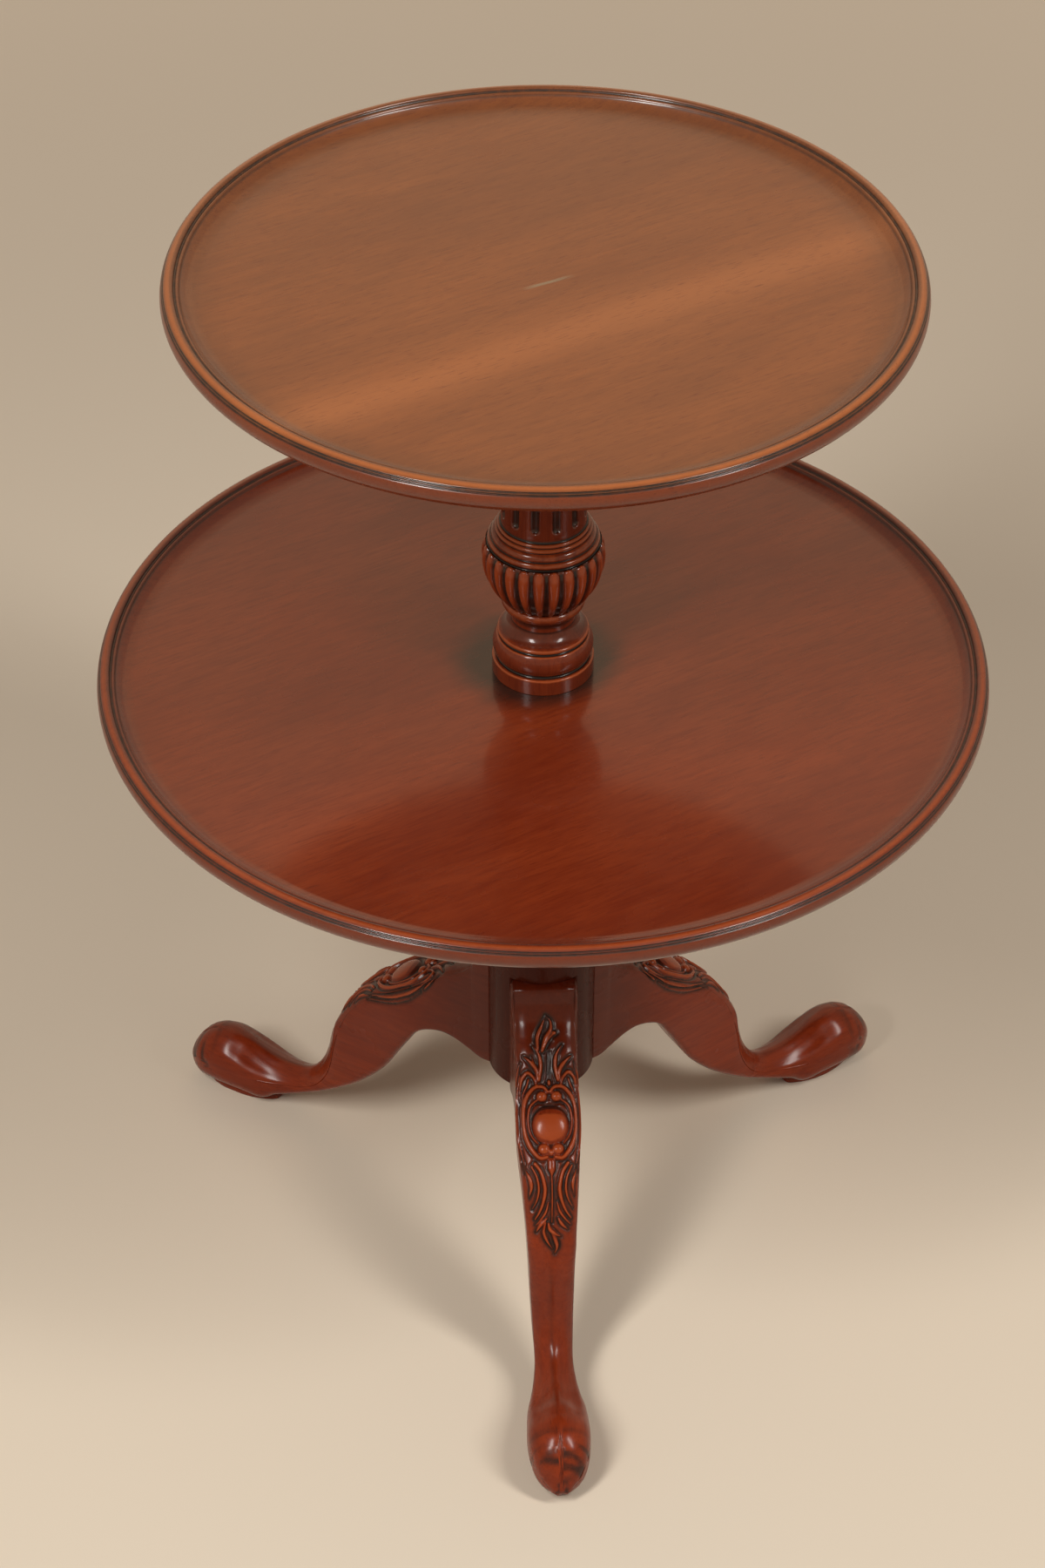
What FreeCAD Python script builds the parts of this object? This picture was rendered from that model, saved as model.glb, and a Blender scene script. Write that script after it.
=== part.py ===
"""Two-tier mahogany dumbwaiter table on a tripod base, in millimetres.

The origin is on the floor under the column, +Z is up and the front leg points along -Y.
Two dished round trays sit one above the other. The upper one stands on a fluted and
gadrooned column, and the lower one on a plain column whose foot carries three cabriole legs.
"""
import FreeCAD, Part
import Sketcher
import math
import os

from FreeCAD import Placement, Rotation, Vector

PARTS_FOLDER = "parts"

SIZES = [
    # Whole table
    ("overall_height", 762.0, "floor to the crest of the upper tray"),
    ("lower_tray_height", 482.0, "floor to the crest of the lower tray"),
    ("upper_tray_radius", 223.5, "outer radius of the upper tray"),
    ("lower_tray_radius", 279.5, "outer radius of the lower tray"),
    ("leg_count", 3, "legs round the hub"),
    ("front_azimuth", 270.0, "degrees, where the front leg points"),
    # Trays
    ("board", 19.0, "thickness of a tray board"),
    ("dish_depth", 8.5, "crest of the rim down to the field"),
    ("rim_width", 16.0, "edge of the tray to the start of the field"),
    ("edge_height", 16.0, "crest of the rim down to the foot of the edge moulding"),
    ("under_bevel", 22.0, "edge of the tray to the flat underside"),
    # Blocks under the trays
    ("block_radius", 75.0, "round block screwed under each tray"),
    ("block_height", 20.0, "thickness of a block"),
    ("block_round", 5.0, "rounding of a block's lower edge"),
    # Wood screws of the blocks and of the brace
    ("screw_circle", 52.0, "radius of the circle of block screws"),
    ("screw_length", 26.0, "block screw, head face to tip"),
    ("screw_shank", 2.1, "radius of the shank"),
    ("screw_head", 4.1, "radius of the countersunk head"),
    ("screw_head_depth", 2.2, "depth of the countersunk head"),
    ("screw_tip", 4.0, "length of the pointed tip"),
    ("block_screws", 4, "screws in each block"),
    # Clearances
    ("glue_gap", 0.05, "radial gap of a glued or screwed fit"),
    ("end_gap", 1.0, "free space at the end of a blind hole"),
    ("overrun", 5.0, "how far a cut runs past the wood"),
    # Upper column
    ("foot_radius", 32.0, "base ring of the upper column"),
    ("neck_radius", 20.3, "narrowest part of the neck"),
    ("collar_radius", 26.0, "collar under the bulb"),
    ("bulb_radius", 38.2, "widest part of the gadrooned bulb"),
    ("bulb_foot_radius", 24.6, "bulb where it meets the collar"),
    ("bulb_top_radius", 35.7, "bulb where the lobes end"),
    ("ring_radius", 35.0, "round ring over the lobes"),
    ("shaft_foot_radius", 26.4, "fluted shaft at its foot"),
    ("shaft_top_radius", 22.8, "fluted shaft at its top"),
    ("cap_radius", 33.0, "cap under the upper block"),
    ("flutes", 12, "flutes round the shaft"),
    ("flute_radius", 3.0, "cutter radius of a flute"),
    ("flute_depth", 1.9, "depth of a flute"),
    ("flute_margin", 2.5, "plain shaft left at each end of a flute"),
    ("gadroons", 24, "lobes round the bulb"),
    ("gadroon_depth", 2.0, "depth of the valley between two lobes"),
    ("gadroon_half_width", 2.6, "half the width of that valley"),
    ("gadroon_overrun", 0.4, "how far the valley's cutter runs past the bulb"),
    # Joints of the two columns
    ("tenon_radius", 12.5, "round tenon on top of the upper column"),
    ("bolt_radius", 4.75, "hanger bolt through the lower tray"),
    ("bolt_up", 50.0, "bolt above the field of the lower tray"),
    ("bolt_down", 60.0, "bolt below the field of the lower tray"),
    ("bolt_chamfer", 1.0, "chamfer of the bolt's ends"),
    ("insert_radius", 8.0, "threaded insert in the head of the lower column"),
    ("insert_length", 25.0, "length of the insert"),
    # Lower column
    ("hub_radius", 35.8, "plain hub that carries the legs"),
    ("hub_bottom", 134.0, "floor to the underside of the hub and of the legs' inner ends"),
    ("hub_top", 256.0, "floor to the top of the hub"),
    ("hub_flat", 27.85, "axis to the flat that seats a leg"),
    ("lower_shaft_radius", 26.0, "lower column over the hub"),
    ("lower_neck_radius", 21.0, "lower column under its cap"),
    ("lower_cap_radius", 35.0, "cap under the lower block"),
    ("lower_cap_height", 31.0, "neck of the lower column up to the lower block"),
    ("lower_tenon_radius", 16.0, "round tenon on top of the lower column"),
    # Legs
    ("leg_reach", 285.0, "axis to the tip of a toe"),
    ("leg_top", 233.0, "floor to the top of a leg at the hub"),
    ("leg_half_width", 22.5, "half the thickness of a leg at the hub"),
    ("sole_height", 4.5, "thickness of the sole under a foot"),
    ("sole_half_width", 12.3, "half the width of the sole"),
    # Dowels between hub and legs
    ("dowel_radius", 4.75, "radius of a dowel"),
    ("dowel_in_hub", 19.0, "length of a dowel in the hub"),
    ("dowel_in_leg", 22.0, "length of a dowel in the leg"),
    ("dowel_chamfer", 1.0, "chamfer of a dowel's ends"),
    ("dowel_low", 161.0, "floor to the lower dowel"),
    ("dowel_high", 198.0, "floor to the upper dowel"),
    # Iron brace let into the underside of hub and legs
    ("brace_thickness", 2.5, "thickness of the iron brace"),
    ("brace_disc", 24.0, "radius of the middle of the brace"),
    ("brace_half_width", 7.5, "half the width of an arm"),
    ("brace_reach", 45.0, "axis to the end of an arm"),
    ("brace_screw_length", 16.0, "brace screw, head face to tip"),
    ("leg_screw_place", 38.0, "axis to the brace screw in a leg"),
    ("hub_screw_place", 16.0, "axis to a brace screw in the hub"),
]

# Every outline below is a list of corners, each with a share across, a share up and the
# bulge of the stretch that leads to it: an arc's height over its chord, positive where the
# wood bulges out and zero on a straight stretch.

# Edge moulding of both trays from the foot of the edge over the crest to the field:
# shares of rim_width in from the edge and of edge_height down from the crest.
RIM_SHARES = [
    (0.562, 1.000, -0.050),
    (0.000, 0.500, 0.207),
    (0.020, 0.330, 0.029),
    (0.070, 0.225, 0.054),
    (0.118, 0.215, 0.000),
    (0.122, 0.180, -0.250),
    (0.096, 0.168, 0.000),
    (0.110, 0.138, 0.350),
    (0.158, 0.128, 0.000),
    (0.158, 0.095, -0.250),
    (0.138, 0.082, 0.000),
    (0.400, 0.000, 0.080),
    (0.495, 0.055, 0.120),
    (0.540, 0.150, -0.100),
    (0.590, 0.125, 0.000),
    (0.690, 0.145, 0.200),
    (0.720, 0.215, 0.000),
]
COVE_BULGE_SHARE = -0.18

# Heights on the upper column, as shares of its length from the lower tray's field to the
# upper block: lower end of the neck, top of the collar, widest part of the bulb, upper end
# of the lobes, foot of the fluted shaft and top of it.
COLUMN_SHARES = (0.1600, 0.2225, 0.3505, 0.3905, 0.4650, 0.8580)

# Foot of the upper column, from its base ring up to the neck: shares of the way from
# neck_radius to foot_radius and from the field to the neck.
FOOT_SHARES = [
    (1.000, 0.000, 0.000),
    (1.000, 0.255, 0.000),
    (0.930, 0.275, 0.200),
    (0.745, 0.280, 0.000),
    (0.745, 0.330, -0.200),
    (0.830, 0.340, 0.000),
    (0.730, 0.680, 0.155),
    (0.600, 0.685, 0.000),
    (0.600, 0.725, -0.200),
    (0.675, 0.730, 0.000),
    (0.660, 0.790, 0.250),
    (0.590, 0.798, 0.000),
    (0.000, 1.000, -0.140),
]

# Collar under the bulb: shares of the way from neck_radius to collar_radius and from the
# neck to the top of the collar.
COLLAR_SHARES = [
    (0.000, 0.170, 0.000),
    (0.820, 0.620, -0.150),
    (0.840, 0.660, 0.000),
    (0.860, 0.975, 0.200),
]

# Bands over the bulb: shares of the way from shaft_foot_radius to ring_radius and from the
# upper end of the lobes to the foot of the shaft.
BAND_SHARES = [
    (0.930, 0.000, 0.000),
    (0.930, 0.059, 0.000),
    (0.733, 0.253, 0.250),
    (0.686, 0.253, 0.000),
    (0.419, 0.511, 0.200),
    (0.349, 0.511, 0.000),
    (0.279, 0.661, 0.350),
    (0.186, 0.661, 0.000),
    (0.116, 0.796, 0.350),
    (0.035, 0.796, 0.000),
    (0.000, 1.000, -0.030),
]

# Cap of either column: shares of the way from the shaft's radius to the cap's radius and
# from the top of the shaft to the top of the cap.
CAP_SHARES = [
    (0.280, 0.030, 0.000),
    (0.280, 0.190, 0.450),
    (0.000, 0.220, 0.000),
    (0.020, 0.420, -0.050),
    (0.100, 0.440, 0.000),
    (0.880, 0.740, 0.160),
    (0.880, 0.780, 0.000),
    (1.000, 0.800, 0.000),
    (1.000, 1.000, 0.000),
]

# Lower column over the hub: shares of the way from lower_shaft_radius to hub_radius and
# from hub_top to the neck under the lower cap.
LOWER_SHAFT_SHARES = [
    (1.000, 0.000, 0.000),
    (0.800, 0.026, 0.114),
    (0.500, 0.026, 0.000),
    (0.150, 0.070, -0.150),
    (0.150, 0.085, 0.000),
    (0.150, 0.135, 0.400),
    (0.000, 0.140, 0.000),
]
LOWER_SHAFT_BULGE_SHARE = 0.02
HUB_CHAMFER_SHARE = 0.04

# Sections of a cabriole leg from the hub to the toe. Each is a rounded rectangle across the
# leg, given by the middle of its upper edge and of its lower edge, as shares of leg_reach
# out and of leg_top up, by its half width as a share of leg_half_width, and by its corner
# radius as a share of that half width.
LEG_SHARES = [
    (0.0977, 1.0000, 0.0977, 0.5751, 1.000, 0.07),
    (0.1263, 1.0000, 0.1193, 0.5751, 1.000, 0.09),
    (0.1396, 0.9914, 0.1316, 0.5760, 0.987, 0.13),
    (0.1446, 0.9742, 0.1404, 0.5777, 0.973, 0.16),
    (0.1481, 0.9506, 0.1509, 0.5820, 0.960, 0.18),
    (0.1684, 0.9129, 0.1702, 0.5923, 0.951, 0.19),
    (0.1965, 0.8841, 0.1930, 0.6043, 0.942, 0.19),
    (0.2281, 0.8584, 0.2211, 0.6120, 0.933, 0.19),
    (0.2667, 0.8155, 0.2456, 0.6103, 0.933, 0.19),
    (0.3088, 0.7755, 0.2702, 0.6009, 0.933, 0.19),
    (0.3544, 0.7382, 0.2912, 0.5871, 0.933, 0.19),
    (0.4000, 0.6944, 0.3088, 0.5657, 0.920, 0.19),
    (0.4421, 0.6567, 0.3263, 0.5300, 0.889, 0.21),
    (0.4842, 0.6030, 0.3456, 0.4893, 0.836, 0.24),
    (0.5175, 0.5451, 0.3667, 0.4442, 0.787, 0.28),
    (0.5404, 0.4871, 0.3895, 0.3927, 0.738, 0.33),
    (0.5596, 0.4227, 0.4175, 0.3369, 0.702, 0.38),
    (0.5737, 0.3562, 0.4561, 0.2790, 0.676, 0.42),
    (0.5835, 0.3004, 0.4912, 0.2343, 0.658, 0.46),
    (0.5965, 0.2511, 0.5263, 0.1974, 0.636, 0.48),
    (0.6158, 0.2060, 0.5614, 0.1639, 0.618, 0.49),
    (0.6404, 0.1717, 0.5982, 0.1300, 0.604, 0.49),
    (0.6702, 0.1511, 0.6386, 0.1030, 0.604, 0.46),
    (0.7088, 0.1451, 0.6842, 0.0773, 0.649, 0.48),
    (0.7509, 0.1494, 0.7351, 0.0494, 0.747, 0.54),
    (0.7965, 0.1665, 0.7684, 0.0189, 0.853, 0.68),
    (0.8421, 0.1918, 0.8281, 0.0137, 0.911, 0.83),
    (0.8877, 0.2060, 0.8842, 0.0129, 0.920, 0.89),
    (0.9281, 0.1961, 0.9246, 0.0125, 0.853, 0.91),
    (0.9579, 0.1717, 0.9509, 0.0142, 0.733, 0.88),
    (0.9807, 0.1352, 0.9702, 0.0225, 0.556, 0.88),
    (0.9947, 0.0944, 0.9860, 0.0365, 0.333, 0.80),
    (1.0000, 0.0687, 0.9965, 0.0451, 0.178, 0.62),
]

# Ends of a sole as shares of leg_reach, and its outline as shares of the way from its heel to
# its tip and of its half width.
SOLE_HEEL_SHARE = 0.7456
SOLE_TIP_SHARE = 0.9807
SOLE_SHARES = [
    (1.000, 0.000, 0.080),
    (0.540, 1.000, 0.120),
    (0.000, 0.420, 0.080),
    (0.000, -0.420, 0.060),
    (0.540, -1.000, 0.080),
]

# Bulge of a quarter circle, and the share of the bulb's lower arc that the valleys cover.
QUARTER_BULGE_SHARE = 0.2071
GADROON_LOW_SHARE = 0.93

# A point nearer than this to a sketch's axis lies on it.
ON_AXIS = 1e-9


class Size:
    """A length that carries its formula over the sheet's cells beside its number."""

    def __init__(self, text, number):
        self.text = text
        self.number = number

    def _with(self, other, sign, number, swap=False):
        words = other.text if isinstance(other, Size) else repr(float(other))
        pair = (words, self.text) if swap else (self.text, words)
        return Size("(%s %s %s)" % (pair[0], sign, pair[1]), number)

    def __add__(self, other):
        return self._with(other, "+", self.number + number_of(other))

    def __radd__(self, other):
        return self._with(other, "+", number_of(other) + self.number, swap=True)

    def __sub__(self, other):
        return self._with(other, "-", self.number - number_of(other))

    def __rsub__(self, other):
        return self._with(other, "-", number_of(other) - self.number, swap=True)

    def __mul__(self, other):
        return self._with(other, "*", self.number * number_of(other))

    __rmul__ = __mul__

    def __truediv__(self, other):
        return self._with(other, "/", self.number / number_of(other))

    def __rtruediv__(self, other):
        return self._with(other, "/", number_of(other) / self.number, swap=True)


def number_of(value):
    """Number of a size, or the number itself."""
    return value.number if isinstance(value, Size) else float(value)


def distance(across, up):
    """Length of the hypotenuse over two sizes."""
    text = "hypot(%s; %s)" % (across.text, up.text)
    return Size(text, math.hypot(across.number, up.number))


def angle_over(across, up):
    """Angle in degrees whose tangent is across over up."""
    text = "atan2(%s; %s)" % (across.text, up.text)
    return Size(text, math.degrees(math.atan2(across.number, up.number)))


def between(low, high, share):
    """Size that lies the given share of the way from low to high."""
    return low + (high - low) * share


class Sheet:
    """The spreadsheet with the driving sizes; each size is read as an attribute."""

    def __init__(self, document):
        self._sheet = document.addObject("Spreadsheet::Sheet", "sizes")
        for row, (alias, value, note) in enumerate(SIZES, start=1):
            self._sheet.set("A%d" % row, alias)
            self._sheet.set("B%d" % row, str(value))
            self._sheet.set("C%d" % row, note)
            self._sheet.setAlias("B%d" % row, alias)
            setattr(self, alias, Size("sizes.%s" % alias, float(value)))


doc = FreeCAD.newDocument("dumbwaiter_table")
S = Sheet(doc)
doc.recompute()
ZERO = S.overrun * 0
UPPER_FIELD = S.overall_height - S.dish_depth
LOWER_FIELD = S.lower_tray_height - S.dish_depth
UPPER_SEAT = S.overall_height - S.board
LOWER_SEAT = S.lower_tray_height - S.board
nodes = []


def bind(thing, name, size):
    """Ties a property to a formula over the sheet."""
    thing.setExpression(name, size.text)


def azimuth_of(number, count):
    """Direction of one of count places round the axis, the first of them at the front."""
    return S.front_azimuth + 360 / count * number


def new_body(name, azimuth=None):
    """Body that becomes a node, turned about the axis when an azimuth is given."""
    body = doc.addObject("PartDesign::Body", name)
    body.Label = name
    body.AllowCompound = True
    if azimuth:
        body.Placement = Placement(Vector(), Rotation(Vector(0, 0, 1), 1))
        bind(body, "Placement.Rotation.Angle", azimuth)
    nodes.append(body)
    return body


def new_sketch(body, name, plane):
    """Sketch on one of the body's own origin planes."""
    sketch = body.newObject("Sketcher::SketchObject", name)
    origin_plane = [part for part in body.Origin.OriginFeatures if part.Role == plane][0]
    sketch.AttachmentSupport = (origin_plane, [""])
    sketch.MapMode = "FlatFace"
    return sketch


def arc_through(start, end, bulge):
    """Arc between two points that stands off its chord to the right by bulge chords."""
    chord = end - start
    length = chord.Length
    right = Vector(chord.y, -chord.x, 0) / length
    radius = length * (1 / (8 * abs(bulge)) + abs(bulge) / 2)
    middle = (start + end) / 2
    side = 1 if bulge > 0 else -1
    centre = middle - right * side * (radius - abs(bulge) * length)
    first, last = (start, end) if bulge > 0 else (end, start)
    turn = [math.atan2(point.y - centre.y, point.x - centre.x) for point in (first, last)]
    if turn[1] <= turn[0]:
        turn[1] += 2 * math.pi
    circle = Part.Circle(centre, Vector(0, 0, 1), radius)
    return Part.ArcOfCircle(circle, turn[0], turn[1])


def tie_point(rules, ties, element, point, across, up):
    """Rules that hold one point of a sketch at its place, and the sizes they follow."""
    for kind, value, line in (("DistanceX", across, -2), ("DistanceY", up, -1)):
        number = number_of(value)
        if abs(number) < ON_AXIS:
            rules.append(Sketcher.Constraint("PointOnObject", element, point, line))
            continue
        ties.append((len(rules), value if number > 0 else value * -1))
        if number > 0:
            rules.append(Sketcher.Constraint(kind, -1, 1, element, point, number))
        else:
            rules.append(Sketcher.Constraint(kind, element, point, -1, 1, -number))


def closed_outline(sketch, corners, axis=None):
    """Closed outline of lines and arcs, counter-clockwise, tied corner by corner to the sheet.

    Each corner is across, up and the bulge of the stretch that leads to it.
    An axis, given as two points, becomes a construction line to turn the outline about.
    """
    count = len(corners)
    places = [Vector(number_of(across), number_of(up), 0) for across, up, _ in corners]
    shapes = []
    ends = []
    for index, (_, _, bulge) in enumerate(corners):
        start, end = places[index - 1], places[index]
        shapes.append(arc_through(start, end, bulge) if bulge else Part.LineSegment(start, end))
        ends.append((2, 1) if bulge < 0 else (1, 2))
    sketch.addGeometry(shapes, False)
    rules = []
    ties = []
    for index in range(count):
        after = (index + 1) % count
        rules.append(
            Sketcher.Constraint("Coincident", index, ends[index][1], after, ends[after][0])
        )
    for index, (across, up, bulge) in enumerate(corners):
        tie_point(rules, ties, index, ends[index][1], across, up)
        if bulge:
            before = corners[index - 1]
            chord = distance(across - before[0], up - before[1])
            radius = chord * (1 / (8 * abs(bulge)) + abs(bulge) / 2)
            ties.append((len(rules), radius))
            rules.append(Sketcher.Constraint("Radius", index, radius.number))
    if axis:
        first, last = [Vector(number_of(across), number_of(up), 0) for across, up in axis]
        line = sketch.addGeometry(Part.LineSegment(first, last), True)
        for point, (across, up) in enumerate(axis, start=1):
            tie_point(rules, ties, line, point, across, up)
    sketch.addConstraint(rules)
    for index, value in ties:
        bind(sketch, "Constraints[%d]" % index, value)


def turned(body, name, corners):
    """Solid turned about the upright axis from an outline of radius and height."""
    sketch = new_sketch(body, name + "_outline", "XZ_Plane")
    closed_outline(sketch, corners)
    solid = body.newObject("PartDesign::Revolution", name)
    solid.Profile = sketch
    solid.ReferenceAxis = (sketch, ["V_Axis"])
    solid.Angle = 360
    body.Tip = solid
    return solid


def spun(body, name, corners, axis, cut=True):
    """Cut or solid turned about an axis of its own, as a drill or a screw is."""
    sketch = new_sketch(body, name + "_outline", "XZ_Plane")
    closed_outline(sketch, corners, axis)
    kind = "PartDesign::Groove" if cut else "PartDesign::Revolution"
    feature = body.newObject(kind, name)
    feature.Profile = sketch
    feature.ReferenceAxis = (sketch, ["Axis0"])
    feature.Angle = 360
    body.Tip = feature
    return feature


def side_cut(body, name, corners, half_width):
    """Slot across the body, from an outline seen from the side."""
    sketch = new_sketch(body, name + "_outline", "XZ_Plane")
    closed_outline(sketch, corners)
    slot = body.newObject("PartDesign::Pocket", name)
    slot.Profile = sketch
    slot.Midplane = True
    bind(slot, "Length", half_width * 2)
    body.Tip = slot
    return slot


def repeated(body, name, features, count):
    """The features repeated evenly about the upright axis."""
    z_axis = [part for part in body.Origin.OriginFeatures if part.Role == "Z_Axis"][0]
    pattern = body.newObject("PartDesign::PolarPattern", name)
    pattern.Originals = features
    pattern.Axis = (z_axis, [""])
    pattern.Angle = 360
    bind(pattern, "Occurrences", count)
    body.Tip = pattern
    return pattern


def moulding(shares, inner, outer, low, high):
    """Corners of a moulding whose shares run between two radii and two heights."""
    return [
        (between(inner, outer, across), between(low, high, up), bulge)
        for across, up, bulge in shares
    ]


def rectangle(left, right, low, high):
    """Corners of an upright rectangle."""
    return [(left, low, 0), (right, low, 0), (right, high, 0), (left, high, 0)]


def drilled_up(body, name, place, radius, low, high):
    """Upright round hole at a distance from the axis."""
    corners = rectangle(place, place + radius, low, high)
    return spun(body, name, corners, [(place, low), (place, high)])


def screw_hole(body, name, place, head, end):
    """Upright countersunk through hole whose head lies below."""
    shank = place + S.screw_shank + S.glue_gap
    wide = place + S.screw_head + S.glue_gap
    low = head - S.overrun
    corners = [
        (place, low, 0),
        (wide, low, 0),
        (wide, head, 0),
        (shank, head + S.screw_head_depth, 0),
        (shank, end, 0),
        (place, end, 0),
    ]
    return spun(body, name, corners, [(place, low), (place, end)])


def screw(body, name, place, head, length):
    """Upright countersunk wood screw whose head lies below."""
    tip = head + length
    corners = [
        (place, head, 0),
        (place + S.screw_head, head, 0),
        (place + S.screw_shank, head + S.screw_head_depth, 0),
        (place + S.screw_shank, tip - S.screw_tip, 0),
        (place, tip, 0),
    ]
    return spun(body, name, corners, [(place, head), (place, tip)], cut=False)


def tray(name, radius, crest, hole):
    """Dished round tray with a moulded edge, and pilot holes for its block's screws."""
    body = new_body(name)
    corners = [
        (hole, crest - S.board, 0),
        (radius - S.under_bevel, crest - S.board, 0),
    ]
    corners += moulding(RIM_SHARES, radius, radius - S.rim_width, crest, crest - S.edge_height)
    corners.append((radius - S.rim_width, crest - S.dish_depth, COVE_BULGE_SHARE))
    corners.append((hole, crest - S.dish_depth, 0))
    turned(body, name + "_board", corners)
    underside = crest - S.board
    depth = S.screw_length - S.block_height + S.end_gap
    pilot = drilled_up(
        body,
        name + "_pilot",
        S.screw_circle,
        S.screw_shank + S.glue_gap,
        underside - S.overrun,
        underside + depth,
    )
    repeated(body, name + "_pilots", [pilot], S.block_screws)


def block(name, seat, bore):
    """Round block under a tray, bored for the column's tenon and for its screws."""
    body = new_body(name)
    foot = seat - S.block_height
    corners = [
        (bore, foot, 0),
        (S.block_radius - S.block_round, foot, 0),
        (S.block_radius, foot + S.block_round, QUARTER_BULGE_SHARE),
        (S.block_radius, seat, 0),
        (bore, seat, 0),
    ]
    turned(body, name + "_disc", corners)
    hole = screw_hole(body, name + "_hole", S.screw_circle, foot, seat + S.overrun)
    repeated(body, name + "_holes", [hole], S.block_screws)


def block_screws(name, seat):
    """Ring of wood screws that hold a block to its tray."""
    body = new_body(name)
    one = screw(body, name + "_one", S.screw_circle, seat - S.block_height, S.screw_length)
    repeated(body, name + "_all", [one], S.block_screws)


def upper_column():
    """Fluted and gadrooned column between the trays, with a tenon above and a bore below."""
    body = new_body("upper_column", azimuth_of(0.5, S.flutes))
    bore = S.bolt_radius + S.glue_gap
    bore_end = LOWER_FIELD + S.bolt_up + S.end_gap
    block_foot = UPPER_SEAT - S.block_height
    tenon_end = UPPER_SEAT - S.end_gap
    neck, collar, bulb, lobes_end, shaft_low, shaft_high = [
        between(LOWER_FIELD, block_foot, share) for share in COLUMN_SHARES
    ]
    lower = BulbArc(S.bulb_radius - S.bulb_foot_radius, bulb - collar)
    upper = BulbArc(S.bulb_radius - S.bulb_top_radius, lobes_end - bulb)
    corners = [(bore, LOWER_FIELD, 0)]
    corners += moulding(FOOT_SHARES, S.neck_radius, S.foot_radius, LOWER_FIELD, neck)
    corners += moulding(COLLAR_SHARES, S.neck_radius, S.collar_radius, neck, collar)
    corners += [
        (S.bulb_foot_radius, collar, 0),
        (S.bulb_radius, bulb, lower.bulge),
        (S.bulb_top_radius, lobes_end, upper.bulge),
    ]
    corners += moulding(BAND_SHARES, S.shaft_foot_radius, S.ring_radius, lobes_end, shaft_low)
    corners.append((S.shaft_top_radius, shaft_high, 0))
    corners += moulding(CAP_SHARES, S.shaft_top_radius, S.cap_radius, shaft_high, block_foot)
    corners += [
        (S.tenon_radius, block_foot, 0),
        (S.tenon_radius, tenon_end, 0),
        (ZERO, tenon_end, 0),
        (ZERO, bore_end, 0),
        (bore, bore_end, 0),
    ]
    turned(body, "column_turning", corners)
    flute = flute_cut(body, shaft_low, shaft_high)
    repeated(body, "flutes_all_round", [flute], S.flutes)
    below = valley_cut(body, "valley_below", bulb, lower, GADROON_LOW_SHARE, False)
    above = valley_cut(body, "valley_above", bulb, upper, 1.0, True)
    repeated(body, "valleys_all_round", [below, above], S.gadroons)


class BulbArc:
    """Arc of the bulb's outline that is upright where the bulb is widest."""

    def __init__(self, reach, rise):
        self.radius = (reach * reach + rise * rise) / (reach * 2)
        self.turn = angle_over(rise, self.radius - reach)
        self.bulge = math.tan(math.radians(self.turn.number) / 4) / 2


def flute_cut(body, shaft_low, shaft_high):
    """Flute with round ends along the tapering shaft."""
    slope = (S.shaft_foot_radius - S.shaft_top_radius) / (shaft_high - shaft_low)
    low = shaft_low + S.flute_margin
    high = shaft_high - S.flute_margin
    stand_off = S.flute_radius - S.flute_depth
    axis_low = S.shaft_foot_radius - slope * S.flute_margin + stand_off
    axis_high = S.shaft_top_radius + slope * S.flute_margin + stand_off
    corners = [
        (axis_low, low, QUARTER_BULGE_SHARE),
        (axis_high, high, 0),
        (axis_high - S.flute_radius, high - S.flute_radius, QUARTER_BULGE_SHARE),
        (axis_low - S.flute_radius, low + S.flute_radius, 0),
    ]
    return spun(body, "flute", corners, [(axis_low, low), (axis_high, high)])


def valley_cut(body, name, height, arc, turn_share, upward):
    """Valley between two lobes, a notch swept along one arc of the bulb's outline."""
    sketch = new_sketch(body, name + "_outline", "XY_Plane")
    bind(sketch, "AttachmentOffset.Base.z", height)
    outside = S.bulb_radius + S.gadroon_overrun
    flare = (S.gadroon_depth + S.gadroon_overrun) / S.gadroon_depth
    half = S.gadroon_half_width * flare
    centre = S.bulb_radius - arc.radius
    corners = [
        (S.bulb_radius - S.gadroon_depth, ZERO, 0),
        (outside, half * -1, 0),
        (outside, half, 0),
    ]
    closed_outline(sketch, corners, [(centre, half * -1), (centre, half)])
    valley = body.newObject("PartDesign::Groove", name)
    valley.Profile = sketch
    valley.ReferenceAxis = (sketch, ["Axis0"])
    valley.Reversed = upward
    bind(valley, "Angle", arc.turn * turn_share)
    body.Tip = valley
    return valley


def column_bolt():
    """Hanger bolt that draws the upper column down on the lower tray."""
    body = new_body("column_bolt")
    low = LOWER_FIELD - S.bolt_down
    high = LOWER_FIELD + S.bolt_up
    corners = [
        (ZERO, low, 0),
        (S.bolt_radius - S.bolt_chamfer, low, 0),
        (S.bolt_radius, low + S.bolt_chamfer, 0),
        (S.bolt_radius, high - S.bolt_chamfer, 0),
        (S.bolt_radius - S.bolt_chamfer, high, 0),
        (ZERO, high, 0),
    ]
    turned(body, "bolt_turning", corners)


def bolt_insert():
    """Threaded insert in the head of the lower column."""
    body = new_body("bolt_insert")
    high = LOWER_SEAT - S.end_gap
    bore = S.bolt_radius + S.glue_gap
    turned(body, "insert_turning", rectangle(bore, S.insert_radius, high - S.insert_length, high))


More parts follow.
